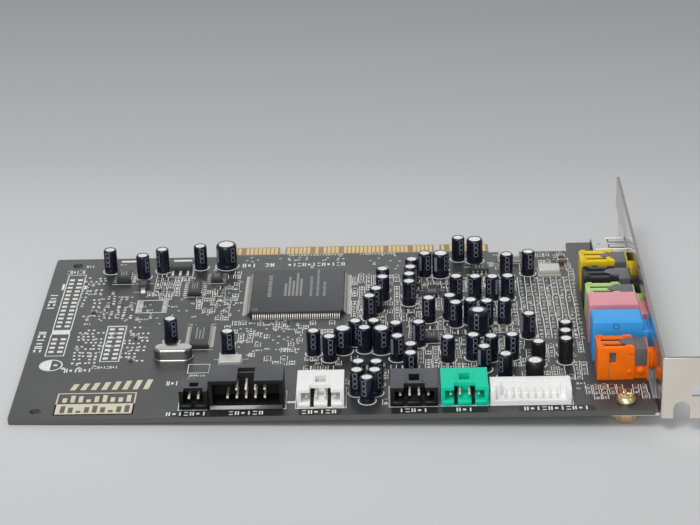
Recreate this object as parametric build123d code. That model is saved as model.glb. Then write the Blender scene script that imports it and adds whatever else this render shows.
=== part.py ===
from build123d import *
from math import cos, radians, sin
import os

# Board outline: origin at the middle of the insertion edge, +X to the bracket, +Y into the slot
BOARD_T = 1.57
BOARD_LEFT = -94.29
BOARD_RIGHT = 80.34
BOARD_NEAR = -106.68
BOARD_FAR = -7.2
BOARD_CORNER_R = 1.0
PORT_EAR_W = 15.74
PORT_EAR_LEFT = BOARD_RIGHT - PORT_EAR_W
PORT_EAR_FAR = -1.3
TOP = BOARD_T / 2

# Small round pieces are many-sided prisms
CAN_SIDES = 14
ROUND_SIDES = 16
SHANK_SIDES = 12

# Edge connector: 62 places at 1.27 mm, with two key notches
CONTACT_PITCH = 1.27
CONTACT_PLACES = 62
CONTACT_W = 0.95
CONTACT_L = 4.7
CONTACT_T = 0.06
TONGUE_HALF = 40.2
TONGUE_CORNER = 1.3
BEVEL_L = 1.4
BEVEL_H = 0.45
KEY_PLACES = (12, 13, 50, 51)
KEY_W = 1.9
KEY_D = 5.8
KEY_X = 19 * CONTACT_PITCH
BLANK_COMPONENT_SIDE = (10, 19, 25, 36, 41, 43, 60)
BLANK_SOLDER_SIDE = (9, 11, 14, 21, 39, 45, 53)

# Holes through the board
TOOLING_HOLE_D = 3.2
TOOLING_HOLES = ((-87.3, -11.9), (-87.3, -102.3))
SCREW_FROM_END = 7.34
SCREW_X = BOARD_RIGHT - SCREW_FROM_END
SCREW_IN = 5.08
SCREW_Y = BOARD_NEAR + SCREW_IN
SCREW_HOLE_D = 3.4

# Bracket: folded steel sheet
SHEET_T = 0.86
PLATE_GAP = 1.06
PLATE_INNER = BOARD_RIGHT + PLATE_GAP
PLATE_OUTER = PLATE_INNER + SHEET_T
PLATE_DROP = 1.9
PLATE_BOTTOM = TOP - PLATE_DROP
PLATE_W = 18.42
PLATE_TOP = PLATE_BOTTOM + PLATE_W
TAB_STAND = 1.52
TAB_FACE = BOARD_NEAR - TAB_STAND
TAB_L = 11.43
TAB_END = PLATE_INNER + TAB_L
BRACKET_L = 120.02
TONGUE_TIP = TAB_FACE + BRACKET_L
TONGUE_W = 10.19
TONGUE_L = 6.4
TONGUE_TAPER = 8.2
BEND_R = 0.5
TAB_NOTCH_IN = 5.7
TAB_NOTCH_X = PLATE_INNER + TAB_NOTCH_IN
TAB_NOTCH_W = 4.42
TAB_NOTCH_D = 5.2
TAB_SLOT_IN = 8.2
TAB_SLOT_LEFT = PLATE_INNER + TAB_SLOT_IN
TAB_SLOT_UP = 6.8
TAB_SLOT_LOW = PLATE_BOTTOM + TAB_SLOT_UP
TAB_SLOT_H = 3.4
EAR_REACH = 4.4
EAR_LEFT = SCREW_X - EAR_REACH
EAR_HALF_W = 4.0

# Fastening of the bracket ear
SCREW_D = 2.9
SCREW_HEAD_D = 5.6
SCREW_HEAD_H = 2.1
SCREW_HEAD_EDGE = 0.7
SCREW_RECESS_L = 3.2
SCREW_RECESS_W = 0.8
SCREW_RECESS_D = 1.2
SCREW_END = 0.6
WASHER_D = 6.2
WASHER_T = 0.7
NUT_FLATS = 5.0
NUT_H = 2.3
NUT_BORE_D = 3.0

# Audio jacks in a row behind the bracket
JACK_COUNT = 6
JACK_PITCH = 10.9
JACK_IN = 15.6
JACK_NEAR_Y = SCREW_Y + JACK_IN
JACK_AXIS = TOP + 4.7
JACK_BORE_D = 3.6
JACK_BORE_L = 14.36
JACK_BARREL_D = 6.0
JACK_BARREL_OUT = 1.0
JACK_BORE_END = PLATE_OUTER + JACK_BARREL_OUT - JACK_BORE_L
JACK_HOLE_D = 7.0
JACK_FLANGE_HALF = 4.0
JACK_FLANGE_H = 9.1
JACK_FLANGE_T = 1.6
JACK_FLANGE_REAR = PLATE_INNER - JACK_FLANGE_T
OPEN_FLANGE_T = 0.5
OPEN_NECK_L = 3.4
OPEN_FRONT = JACK_FLANGE_REAR - OPEN_NECK_L
OPEN_L = 10.2
OPEN_REAR = OPEN_FRONT - OPEN_L
OPEN_HALF = 3.8
OPEN_H = 9.8
NECK_HALF = 3.2
NECK_H = 9.0
SPRING_SLOT_IN = 0.7
SPRING_SLOT_OUT = 2.2
SPRING_SLOT_FLOOR = 6.8
SPRING_SLOT_REAR = 1.3
SPRING_SLOT_FRONT = 1.4
SPRING_T = 0.3
SPRING_RISE = 1.6
SPRING_FOOT = 0.6
SIDE_SLOT_IN = 3.3
SIDE_SLOT_LEFT = OPEN_REAR + SIDE_SLOT_IN
SIDE_SLOT_W = 1.8
SIDE_SLOT_LOW = 5.0
SIDE_SLOT_H = 3.4
SIDE_SLOT_D = 0.9
CLIP_T = 0.4
CLIP_LOW = 4.2
CLOSED_L = 14.0
CLOSED_FRONT = JACK_FLANGE_REAR
CLOSED_REAR = CLOSED_FRONT - CLOSED_L
CLOSED_HALF = 3.9
CLOSED_H = 12.5
CLOSED_EDGE = 0.5

# Six-contact serial bus port at the far end of the bracket
PORT_GAP = 3.2
PORT_W = 12.3
PORT_NEAR = JACK_NEAR_Y + (JACK_COUNT - 1) * JACK_PITCH + JACK_FLANGE_HALF + PORT_GAP
PORT_FAR = PORT_NEAR + PORT_W
PORT_OUT = 0.8
PORT_L = 11.96
PORT_REAR = PLATE_OUTER + PORT_OUT - PORT_L
PORT_LOW = TOP + 0.3
PORT_H = 7.2
PORT_ROUND_R = 1.9
PORT_WALL = 0.35
PORT_WINDOW_GAP = 0.3
PORT_BLOCK_L = 4.2
PORT_TONGUE_T = 2.2
PORT_TONGUE_W = 8.2
PORT_TONGUE_BACK = 1.6
PORT_CONTACTS = 3
PORT_CONTACT_PITCH = 2.3
PORT_CONTACT_W = 1.0
PORT_CONTACT_T = 0.2
PORT_FOOT_W = 1.2

# Headers along the near edge, all opening toward the near edge
PIN_W = 0.64
PIN_PITCH = 2.54
HEADER_IN = 3.88
HEADER_FRONT = BOARD_NEAR + HEADER_IN
TWO_PIN_W = 7.8
TWO_PIN_L = 7.3
BOX_X = -29.7
BOX_W = 20.3
BOX_L = 9.2
BOX_H = 8.8
BOX_WALL = 1.1
BOX_CAVITY_D = 6.6
BOX_KEY_W = 4.6
BOX_KEY_L = 7.4
BOX_BLANK_PIN = 0
HEADER_GAP = 0.25
TWO_PIN_X = BOX_X - BOX_W / 2 - HEADER_GAP - TWO_PIN_W / 2
AUDIO_X = (-9.6, 15.8, 29.4)
AUDIO_W = 12.8
AUDIO_L = 10.9
AUDIO_H = 5.8
AUDIO_WALL = 1.1
AUDIO_CAVITY_D = 7.6
AUDIO_FLOOR = 1.6
AUDIO_ROOF = 1.1
AUDIO_SLOT_X = 2.35
AUDIO_SLOT_W = 1.05
AUDIO_SLOT_D = 2.6
AUDIO_SLOT_FLOOR = 0.3
AUDIO_NOTCH = AUDIO_SLOT_X + AUDIO_SLOT_W / 2
AUDIO_SLOTS = (-AUDIO_SLOT_X, AUDIO_SLOT_X)
AUDIO_WINDOW = (2.9, 4.1, 3.4)
AUDIO_MOUTH = (AUDIO_CAVITY_D, AUDIO_NOTCH, AUDIO_SLOT_D, AUDIO_SLOTS, AUDIO_WINDOW)
TWO_PIN_CAVITY_D = 5.6
TWO_PIN_NOTCH = 2.6
TWO_PIN_NOTCH_D = 1.9
TWO_PIN_SLOTS = (0.0,)
TWO_PIN_WINDOW = (2.4, 2.75, 2.2)
TWO_PIN_MOUTH = (TWO_PIN_CAVITY_D, TWO_PIN_NOTCH, TWO_PIN_NOTCH_D, TWO_PIN_SLOTS, TWO_PIN_WINDOW)
PIN_SHORT = 0.9
WAFER_X = 47.3
WAFER_W = 21.9
WAFER_L = 7.6
WAFER_H = 4.6
WAFER_WALL = 1.4
WAFER_FLOOR = 1.0
WAFER_BACK = 2.6
WAFER_POST_W = 2.8
WAFER_POST_L = 2.2
WAFER_PINS = 8
WAFER_PITCH = 2.0
WAFER_PIN_W = 0.5
WAFER_PIN_Z = 2.6
WAFER_LIP_H = 1.4
WAFER_LIP_L = 0.8

# Signal processor: flat square package with leads on all four sides
DSP_X = -18.2
DSP_Y = -34.5
DSP_W = 28.0
DSP_H = 1.5
DSP_GAP = 0.12
LEAD_PITCH = 0.65
LEADS_PER_SIDE = 40
LEAD_W = 0.3
LEAD_HIGH = 0.92
LEAD_LOW = 0.66
LEAD_TIP = 1.5
LEAD_HEEL = 0.95

# Other chips: centre, length along X, length along Y, height
INTERFACE_CHIP = (-45.5, -60.4, 5.3, 14.3, 1.3)
MEMORY_CHIP = (-49.4, -29.7, 3.9, 8.65, 1.5)
AMPLIFIER_CHIPS = (
    (-43.3, -22.7, 3.3, 4.9, 1.5),
    (22.0, -35.7, 4.6, 3.9, 1.5),
    (36.8, -20.1, 5.6, 3.9, 1.5),
    (21.2, -63.6, 3.9, 4.9, 1.5),
)
SWITCH_CHIP = (-71.7, -21.9, 4.1, 5.5, 2.1)
REGULATOR = (-54.9, -15.4, 6.5, 3.5, 1.6)
REGULATOR_TAB_W = 3.0
REGULATOR_TAB_L = 1.6
REGULATOR_LEAD_W = 0.75
REGULATOR_LEAD_L = 2.9
REGULATOR_LEAD_PITCH = 2.3
REGULATOR_METAL_T = 0.3
DIODE = (-65.2, -28.0, 2.6, 4.3, 2.0)

# Quartz parts
CRYSTAL_X = -52.2
CRYSTAL_Y = -72.6
CRYSTAL_L = 11.0
CRYSTAL_W = 4.65
CRYSTAL_H = 3.5
CRYSTAL_RIM = 0.35
CRYSTAL_RIM_H = 0.45
RESONATORS = ((57.8, -22.6), (46.2, -12.4), (-35.7, -77.6))
RESONATOR_L = 7.0
RESONATOR_W = 5.0
RESONATOR_BASE_H = 0.7
RESONATOR_LID_H = 1.6
RESONATOR_STEP = 0.25

# Electrolytic capacitors: standing cans, listed by diameter
CAN_H = 7.5
CAN_4_D = 4.0
CAN_4 = (
    (-76.4, -16.1), (-65.9, -20.4), (-60.3, -16.4), (-48.8, -14.4), (-53.7, -62.7), (-36.7, -71.0),
    (-12.3, -71.6), (-7.7, -75.1), (-0.5, -65.9), (2.1, -70.1), (4.8, -65.9), (11.0, -67.5), (11.4, -75.5),
    (17.5, -67.2), (15.1, -80.3), (15.0, -85.6), (0.6, -90.0), (5.5, -90.2), (0.2, -94.9), (5.1, -95.0),
    (3.0, -99.2), (7.3, -32.4), (7.3, -37.8), (5.4, -45.4), (3.4, -50.2), (16.1, -26.2), (15.6, -31.4),
    (15.2, -36.1), (15.1, -41.1), (20.1, -22.2), (30.6, -11.6), (20.7, -52.2), (29.1, -38.3), (26.8, -50.8),
    (28.4, -55.3), (25.6, -76.6), (34.7, -38.6), (39.8, -38.8), (44.4, -38.6), (44.8, -23.9), (51.4, -22.4),
    (32.8, -53.9), (37.4, -54.7), (42.6, -54.3), (49.1, -63.1), (32.7, -75.6), (37.7, -76.4), (43.6, -75.7),
    (35.5, -82.5), (41.2, -87.1),
)
CAN_5_D = 5.0
CAN_5 = ((-4.0, -70.4), (6.9, -70.6), (24.9, -22.4), (35.6, -12.9))
CAN_6_D = 6.3
CAN_6 = ((34.7, -60.3), (-40.8, -13.6))
PLAIN_CAN_D = 4.0
PLAIN_CANS = ((59.1, -68.7), (58.7, -73.8), (58.5, -78.6), (50.7, -80.1))
SHORT_CAN_D = 5.0
SHORT_CAN_H = 7.0
SHORT_CAN = (49.1, -90.2)


def block(x0, x1, y0, y1, z0, z1):
    solid = Box(x1 - x0, y1 - y0, z1 - z0, align=(Align.MIN, Align.MIN, Align.MIN))
    return Pos(x0, y0, z0) * solid


def seated(x, y, length, width, z0, z1):
    return block(x - length / 2, x + length / 2, y - width / 2, y + width / 2, z0, z1)


def slab(points, z0, z1):
    face = Plane.XY.offset(z0) * Polygon(*points, align=None)
    return extrude(face, amount=z1 - z0, dir=(0, 0, 1))


def prism_x(points, x0, x1):
    face = Plane.YZ.offset(x0) * Polygon(*points, align=None)
    return extrude(face, amount=x1 - x0, dir=(1, 0, 0))


def rod_x(y, z, diameter, x0, x1):
    turned = Rotation(0, 90, 0) * Cylinder(diameter / 2, x1 - x0)
    return Pos((x0 + x1) / 2, y, z) * turned


def rod_y(x, z, diameter, y0, y1):
    turned = Rotation(90, 0, 0) * Cylinder(diameter / 2, y1 - y0)
    return Pos(x, (y0 + y1) / 2, z) * turned


def rod_z(x, y, diameter, z0, z1):
    return Pos(x, y, (z0 + z1) / 2) * Cylinder(diameter / 2, z1 - z0)


def sided_x(y, z, diameter, x0, x1):
    face = Plane.YZ.offset(x0) * RegularPolygon(diameter / 2, ROUND_SIDES)
    return Pos(0, y, z) * extrude(face, amount=x1 - x0, dir=(1, 0, 0))


def sided_z(x, y, diameter, z0, z1, sides):
    face = Plane.XY.offset(z0) * RegularPolygon(diameter / 2, sides)
    return Pos(x, y, 0) * extrude(face, amount=z1 - z0, dir=(0, 0, 1))


def save(name, *solids):
    pieces = []
    for item in solids:
        pieces.extend(item.solids())
    shape = pieces[0] if len(pieces) == 1 else Compound(children=pieces)
    export_step(shape, os.path.join("parts", name + ".step"))


# Board: one sheet with a keyed and bevelled tongue
def circuit_board():
    half_key = KEY_W / 2
    far_side = []
    for x in (KEY_X, -KEY_X):
        far_side += [(x + half_key, 0), (x + half_key, -KEY_D), (x - half_key, -KEY_D), (x - half_key, 0)]
    outline = [(BOARD_LEFT, BOARD_NEAR), (BOARD_RIGHT, BOARD_NEAR), (BOARD_RIGHT, PORT_EAR_FAR)]
    outline += [(PORT_EAR_LEFT, PORT_EAR_FAR), (PORT_EAR_LEFT, BOARD_FAR), (TONGUE_HALF, BOARD_FAR)]
    outline += [(TONGUE_HALF, -TONGUE_CORNER), (TONGUE_HALF - TONGUE_CORNER, 0)]
    outline += far_side
    outline += [(-TONGUE_HALF + TONGUE_CORNER, 0), (-TONGUE_HALF, -TONGUE_CORNER)]
    outline += [(-TONGUE_HALF, BOARD_FAR), (BOARD_LEFT, BOARD_FAR)]
    board = slab(outline, -TOP, TOP)
    left_edges = board.edges().filter_by(Axis.Z).group_by(Axis.X)[0]
    board = fillet(left_edges, BOARD_CORNER_R)
    upper = [(-BEVEL_L, TOP), (0, TOP - BEVEL_H), (1, TOP - BEVEL_H), (1, TOP + 1), (-BEVEL_L, TOP + 1)]
    lower = [(y, -z) for y, z in upper]
    board -= prism_x(upper, -TONGUE_HALF - 1, TONGUE_HALF + 1)
    board -= prism_x(lower, -TONGUE_HALF - 1, TONGUE_HALF + 1)
    for x, y in TOOLING_HOLES:
        board -= rod_z(x, y, TOOLING_HOLE_D, -TOP - 1, TOP + 1)
    board -= sided_z(SCREW_X, SCREW_Y, SCREW_HOLE_D, -TOP - 1, TOP + 1, ROUND_SIDES)
    return board


# Gold contacts of one side, place 1 nearest the bracket
def edge_contacts(blanks, z0, z1):
    contacts = []
    for place in range(1, CONTACT_PLACES + 1):
        if place in KEY_PLACES or place in blanks:
            continue
        x = ((CONTACT_PLACES + 1) / 2 - place) * CONTACT_PITCH
        contacts.append(block(x - CONTACT_W / 2, x + CONTACT_W / 2, -BEVEL_L - CONTACT_L, -BEVEL_L, z0, z1))
    return contacts


# Bracket: plate and tab folded from one sheet, with an ear under the board
def bracket():
    fold = [(PLATE_INNER, TONGUE_TIP), (PLATE_INNER, TAB_FACE), (TAB_END, TAB_FACE)]
    fold += [(TAB_END, TAB_FACE + SHEET_T), (PLATE_OUTER, TAB_FACE + SHEET_T), (PLATE_OUTER, TONGUE_TIP)]
    sheet = slab(fold, PLATE_BOTTOM, PLATE_TOP)
    corner = sheet.edges().filter_by(Axis.Z)
    outside = corner.sort_by_distance((PLATE_INNER, TAB_FACE, PLATE_BOTTOM + PLATE_W / 2))[0]
    sheet = fillet(outside, BEND_R + SHEET_T)
    inside = sheet.edges().filter_by(Axis.Z)
    inside = inside.sort_by_distance((PLATE_OUTER, TAB_FACE + SHEET_T, PLATE_BOTTOM + PLATE_W / 2))[0]
    sheet = fillet(inside, BEND_R)
    tongue_low = PLATE_TOP - TONGUE_W
    taper_end = TONGUE_TIP - TONGUE_L - TONGUE_TAPER
    cut = [(TONGUE_TIP + 1, PLATE_BOTTOM - 1), (TONGUE_TIP + 1, tongue_low)]
    cut += [(TONGUE_TIP - TONGUE_L, tongue_low), (taper_end, PLATE_BOTTOM), (taper_end, PLATE_BOTTOM - 1)]
    sheet -= prism_x(cut, PLATE_INNER - 1, PLATE_OUTER + 1)
    for y in jack_centres():
        sheet -= sided_x(y, JACK_AXIS, JACK_HOLE_D, PLATE_INNER - 1, PLATE_OUTER + 1)
    gap = PORT_WINDOW_GAP
    window = port_section(gap)
    sheet -= prism_x(window, PLATE_INNER - 1, PLATE_OUTER + 1)
    tab_back = TAB_FACE + SHEET_T + 0.2
    notch_top = PLATE_BOTTOM + TAB_NOTCH_D - TAB_NOTCH_W / 2
    notch_left = TAB_NOTCH_X - TAB_NOTCH_W / 2
    notch_right = TAB_NOTCH_X + TAB_NOTCH_W / 2
    sheet -= block(notch_left, notch_right, TAB_FACE - 1, tab_back, PLATE_BOTTOM - 1, notch_top)
    sheet -= rod_y(TAB_NOTCH_X, notch_top, TAB_NOTCH_W, TAB_FACE - 1, tab_back)
    slot_high = TAB_SLOT_LOW + TAB_SLOT_H
    sheet -= block(TAB_SLOT_LEFT, TAB_END + 1, TAB_FACE - 1, tab_back, TAB_SLOT_LOW, slot_high)
    ear_top = -TOP
    ear = block(EAR_LEFT, PLATE_OUTER, SCREW_Y - EAR_HALF_W, SCREW_Y + EAR_HALF_W, ear_top - SHEET_T, ear_top)
    sheet += ear
    sheet -= sided_z(SCREW_X, SCREW_Y, SCREW_HOLE_D, ear_top - SHEET_T - 1, ear_top + 1, ROUND_SIDES)
    return sheet


# Screw through the board and the ear, head on the component side
def screw():
    nut_low = -TOP - SHEET_T - WASHER_T - NUT_H
    head = sided_z(SCREW_X, SCREW_Y, SCREW_HEAD_D, TOP, TOP + SCREW_HEAD_H, ROUND_SIDES)
    head = chamfer(head.edges().group_by(Axis.Z)[-1], SCREW_HEAD_EDGE)
    shank = sided_z(SCREW_X, SCREW_Y, SCREW_D, nut_low - SCREW_END, TOP, SHANK_SIDES)
    body = head + shank
    recess_low = TOP + SCREW_HEAD_H - SCREW_RECESS_D
    recess_high = TOP + SCREW_HEAD_H + 1
    body -= seated(SCREW_X, SCREW_Y, SCREW_RECESS_L, SCREW_RECESS_W, recess_low, recess_high)
    body -= seated(SCREW_X, SCREW_Y, SCREW_RECESS_W, SCREW_RECESS_L, recess_low, recess_high)
    return body


def washer():
    high = -TOP - SHEET_T
    ring = sided_z(SCREW_X, SCREW_Y, WASHER_D, high - WASHER_T, high, ROUND_SIDES)
    return ring - sided_z(SCREW_X, SCREW_Y, SCREW_HOLE_D, high - WASHER_T - 1, high + 1, SHANK_SIDES)


def nut():
    high = -TOP - SHEET_T - WASHER_T
    face = Plane.XY.offset(high - NUT_H) * RegularPolygon(NUT_FLATS / 2, 6, major_radius=False)
    hexagon = Pos(SCREW_X, SCREW_Y, 0) * extrude(face, amount=NUT_H, dir=(0, 0, 1))
    return hexagon - sided_z(SCREW_X, SCREW_Y, NUT_BORE_D, high - NUT_H - 1, high + 1, SHANK_SIDES)


# Jacks, counted from the near end of the bracket
def jack_centres():
    return [JACK_NEAR_Y + JACK_PITCH * i for i in range(JACK_COUNT)]


# Flange on the board, and the barrel that stands through the bracket
def jack_front(y, flange_end):
    half = JACK_FLANGE_HALF
    flange = block(JACK_FLANGE_REAR, flange_end, y - half, y + half, TOP, TOP + JACK_FLANGE_H)
    return flange + sided_x(y, JACK_AXIS, JACK_BARREL_D, flange_end, PLATE_OUTER + JACK_BARREL_OUT)


def jack_bore(y):
    return rod_x(y, JACK_AXIS, JACK_BORE_D, JACK_BORE_END, PLATE_OUTER + JACK_BARREL_OUT + 1)


# Spring slots lie either side of the middle rib on top of an open jack
def spring_slots(y):
    slots = []
    for side in (-1, 1):
        near, far = sorted((y + side * SPRING_SLOT_IN, y + side * SPRING_SLOT_OUT))
        slots.append((OPEN_REAR + SPRING_SLOT_REAR, OPEN_FRONT - SPRING_SLOT_FRONT, near, far))
    return slots


def open_jack(y):
    body = block(OPEN_REAR, OPEN_FRONT, y - OPEN_HALF, y + OPEN_HALF, TOP, TOP + OPEN_H)
    body += block(OPEN_FRONT, JACK_FLANGE_REAR, y - NECK_HALF, y + NECK_HALF, TOP, TOP + NECK_H)
    body += jack_front(y, JACK_FLANGE_REAR + OPEN_FLANGE_T)
    for x0, x1, y0, y1 in spring_slots(y):
        body -= block(x0, x1, y0, y1, TOP + SPRING_SLOT_FLOOR, TOP + OPEN_H + 1)
    low = TOP + SIDE_SLOT_LOW
    near = y - OPEN_HALF
    right = SIDE_SLOT_LEFT + SIDE_SLOT_W
    body -= block(SIDE_SLOT_LEFT, right, near - 1, near + SIDE_SLOT_D, low, low + SIDE_SLOT_H)
    return body - jack_bore(y)


# Contact springs rise from the slot floor toward the plug
def jack_springs(y):
    springs = []
    floor = TOP + SPRING_SLOT_FLOOR
    for x0, x1, y0, y1 in spring_slots(y):
        tip = floor + SPRING_RISE
        profile = [(x0, floor), (x0 + SPRING_FOOT, floor), (x1, tip), (x1, tip + SPRING_T)]
        face = Plane.XZ.offset(-y0) * Polygon(*profile, align=None)
        springs.append(extrude(face, amount=y1 - y0, dir=(0, 1, 0)))
    return springs


def jack_clip(y):
    outer = NECK_HALF + CLIP_T
    inner = NECK_HALF
    roof = TOP + NECK_H
    high = roof + CLIP_T
    low = TOP + CLIP_LOW
    hoop = [(y - outer, low), (y - inner, low), (y - inner, roof), (y + inner, roof)]
    hoop += [(y + inner, low), (y + outer, low), (y + outer, high), (y - outer, high)]
    return prism_x(hoop, OPEN_FRONT, JACK_FLANGE_REAR)


def closed_jack(y):
    body = block(CLOSED_REAR, CLOSED_FRONT, y - CLOSED_HALF, y + CLOSED_HALF, TOP, TOP + CLOSED_H)
    body = chamfer(body.edges().group_by(Axis.Z)[-1], CLOSED_EDGE)
    return body + jack_front(y, PLATE_INNER) - jack_bore(y)


# Port shell section, square at the near side and rounded off at the far side
def port_section(grow):
    low = PORT_LOW - grow
    high = PORT_LOW + PORT_H + grow
    near = PORT_NEAR - grow
    far = PORT_FAR + grow
    cut = PORT_ROUND_R
    points = [(near, low), (far - cut, low), (far, low + cut)]
    points += [(far, high - cut), (far - cut, high), (near, high)]
    return points


def port_shell():
    shell = prism_x(port_section(0), PORT_REAR, PLATE_OUTER + PORT_OUT)
    shell -= prism_x(port_section(-PORT_WALL), PORT_REAR - 1, PLATE_OUTER + PORT_OUT + 1)
    for y in (PORT_NEAR, PORT_FAR - PORT_ROUND_R - PORT_FOOT_W):
        shell += block(PORT_REAR, PORT_REAR + 2 * PORT_FOOT_W, y, y + PORT_FOOT_W, TOP, PORT_LOW + PORT_WALL)
    return shell


def port_tongue():
    y = (PORT_NEAR + PORT_FAR) / 2
    z = PORT_LOW + PORT_H / 2
    return y - PORT_TONGUE_W / 2, y + PORT_TONGUE_W / 2, z - PORT_TONGUE_T / 2, z + PORT_TONGUE_T / 2


def port_insulator():
    y0, y1, z0, z1 = port_tongue()
    core = prism_x(port_section(-PORT_WALL), PORT_REAR, PORT_REAR + PORT_BLOCK_L)
    return core + block(PORT_REAR + PORT_BLOCK_L, PLATE_OUTER - PORT_TONGUE_BACK, y0, y1, z0, z1)


def port_contacts():
    y0, y1, z0, z1 = port_tongue()
    strips = []
    x0 = PORT_REAR + PORT_BLOCK_L
    x1 = PLATE_OUTER - PORT_TONGUE_BACK - PORT_CONTACT_W
    for i in range(PORT_CONTACTS):
        y = (y0 + y1) / 2 + (i - (PORT_CONTACTS - 1) / 2) * PORT_CONTACT_PITCH
        strips.append(block(x0, x1, y - PORT_CONTACT_W / 2, y + PORT_CONTACT_W / 2, z1, z1 + PORT_CONTACT_T))
        strips.append(block(x0, x1, y - PORT_CONTACT_W / 2, y + PORT_CONTACT_W / 2, z0 - PORT_CONTACT_T, z0))
    return strips


# Right-angle audio header: roof window for the latch, key slots in the mouth
def shrouded_header(x, width, length, cavity, notch, notch_depth, slots, window):
    rear = HEADER_FRONT + length
    body = block(x - width / 2, x + width / 2, HEADER_FRONT, rear, TOP, TOP + AUDIO_H)
    half = width / 2 - AUDIO_WALL
    deep = HEADER_FRONT + cavity
    body -= block(x - half, x + half, HEADER_FRONT - 1, deep, TOP + AUDIO_FLOOR, TOP + AUDIO_H - AUDIO_ROOF)
    mouth = HEADER_FRONT - 1
    slot_end = HEADER_FRONT + notch_depth
    above = TOP + AUDIO_H + 1
    body -= block(x - notch, x + notch, mouth, slot_end, TOP + AUDIO_FLOOR, above)
    for mid in slots:
        x0 = x + mid - AUDIO_SLOT_W / 2
        body -= block(x0, x0 + AUDIO_SLOT_W, mouth, slot_end, TOP + AUDIO_SLOT_FLOOR, above)
    wide, near, long = window
    near = HEADER_FRONT + near
    below = TOP + AUDIO_H - AUDIO_ROOF - 0.1
    body -= block(x - wide / 2, x + wide / 2, near, near + long, below, above)
    return body


def header_pins(x, cavity, pins):
    z = TOP + (AUDIO_FLOOR + AUDIO_H - AUDIO_ROOF) / 2
    bars = []
    for i in range(pins):
        px = x + (i - (pins - 1) / 2) * PIN_PITCH
        near = HEADER_FRONT + PIN_SHORT
        far = HEADER_FRONT + cavity
        bars.append(block(px - PIN_W / 2, px + PIN_W / 2, near, far, z - PIN_W / 2, z + PIN_W / 2))
    return bars


# Box header: two rows of pins in a deep shroud with a key slot in its roof
def box_header():
    body = block(BOX_X - BOX_W / 2, BOX_X + BOX_W / 2, HEADER_FRONT, HEADER_FRONT + BOX_L, TOP, TOP + BOX_H)
    half = BOX_W / 2 - BOX_WALL
    deep = HEADER_FRONT + BOX_CAVITY_D
    body -= block(BOX_X - half, BOX_X + half, HEADER_FRONT - 1, deep, TOP + BOX_WALL, TOP + BOX_H - BOX_WALL)
    key = BOX_KEY_W / 2
    key_far = HEADER_FRONT + BOX_KEY_L
    below = TOP + BOX_H - BOX_WALL - 0.1
    body -= block(BOX_X - key, BOX_X + key, HEADER_FRONT - 1, key_far, below, TOP + BOX_H + 1)
    return body


def box_header_pins():
    bars = []
    for row in (-1, 1):
        z = TOP + BOX_H / 2 + row * PIN_PITCH / 2
        for i in range(5):
            if row == 1 and i == BOX_BLANK_PIN:
                continue
            x = BOX_X + (i - 2) * PIN_PITCH
            near = HEADER_FRONT + PIN_SHORT
            far = HEADER_FRONT + BOX_CAVITY_D
            bars.append(block(x - PIN_W / 2, x + PIN_W / 2, near, far, z - PIN_W / 2, z + PIN_W / 2))
    return bars


# Side-entry wafer: open roof, back block, side walls with raised posts at the rear
def wafer_header():
    x0 = WAFER_X - WAFER_W / 2
    x1 = WAFER_X + WAFER_W / 2
    rear = HEADER_FRONT + WAFER_L
    body = block(x0, x1, HEADER_FRONT, rear, TOP, TOP + WAFER_FLOOR)
    body += block(x0, x1, rear - WAFER_BACK, rear, TOP, TOP + WAFER_H)
    body += block(x0, x1, HEADER_FRONT, HEADER_FRONT + WAFER_LIP_L, TOP, TOP + WAFER_LIP_H)
    for side in (x0, x1 - WAFER_WALL):
        body += block(side, side + WAFER_WALL, HEADER_FRONT, rear, TOP, TOP + WAFER_H)
    for side in (x0, x1 - WAFER_POST_W):
        body += block(side, side + WAFER_POST_W, rear - WAFER_BACK - WAFER_POST_L, rear, TOP, TOP + WAFER_H)
    return body


def wafer_pins():
    bars = []
    z = TOP + WAFER_PIN_Z
    half = WAFER_PIN_W / 2
    far = HEADER_FRONT + WAFER_L - WAFER_BACK
    near = HEADER_FRONT + WAFER_LIP_L + 0.3
    for i in range(WAFER_PINS):
        x = WAFER_X + (i - (WAFER_PINS - 1) / 2) * WAFER_PITCH
        bars.append(block(x - half, x + half, near, far, z - half, z + half))
    return bars


# Signal processor body and its four rows of leads
def dsp_body():
    return seated(DSP_X, DSP_Y, DSP_W, DSP_W, TOP + DSP_GAP, TOP + DSP_GAP + DSP_H)


def dsp_leads():
    leads = []
    half = DSP_W / 2
    profile = [(half, LEAD_LOW), (half + LEAD_HEEL, 0), (half + LEAD_TIP, 0), (half, LEAD_HIGH)]
    face = Plane.XZ.offset(LEAD_W / 2) * Polygon(*profile, align=None)
    lead = extrude(face, amount=LEAD_W, dir=(0, 1, 0))
    for turn in range(4):
        for i in range(LEADS_PER_SIDE):
            along = (i - (LEADS_PER_SIDE - 1) / 2) * LEAD_PITCH
            place = Pos(DSP_X, DSP_Y, TOP) * Rotation(0, 0, 90 * turn) * Pos(0, along, 0)
            leads.append(place * lead)
    return leads


# Small chips lie flat on the board
def chip(spec):
    x, y, length, width, height = spec
    return seated(x, y, length, width, TOP, TOP + height)


# Regulator with a wide tab at the far side and three leads at the near side
def regulator_metal():
    x, y, length, width, height = REGULATOR
    high = TOP + REGULATOR_METAL_T
    far = y + width / 2
    near = y - width / 2
    plates = [block(x - REGULATOR_TAB_W / 2, x + REGULATOR_TAB_W / 2, far, far + REGULATOR_TAB_L, TOP, high)]
    for i in (-1, 0, 1):
        lead_x = x + i * REGULATOR_LEAD_PITCH
        half = REGULATOR_LEAD_W / 2
        plates.append(block(lead_x - half, lead_x + half, near - REGULATOR_LEAD_L, near, TOP, high))
    return plates


# Crystal: pressed can with rounded ends on a flanged base
def crystal():
    can = slab(crystal_outline(0), TOP, TOP + CRYSTAL_H)
    return can + slab(crystal_outline(CRYSTAL_RIM), TOP, TOP + CRYSTAL_RIM_H)


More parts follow.
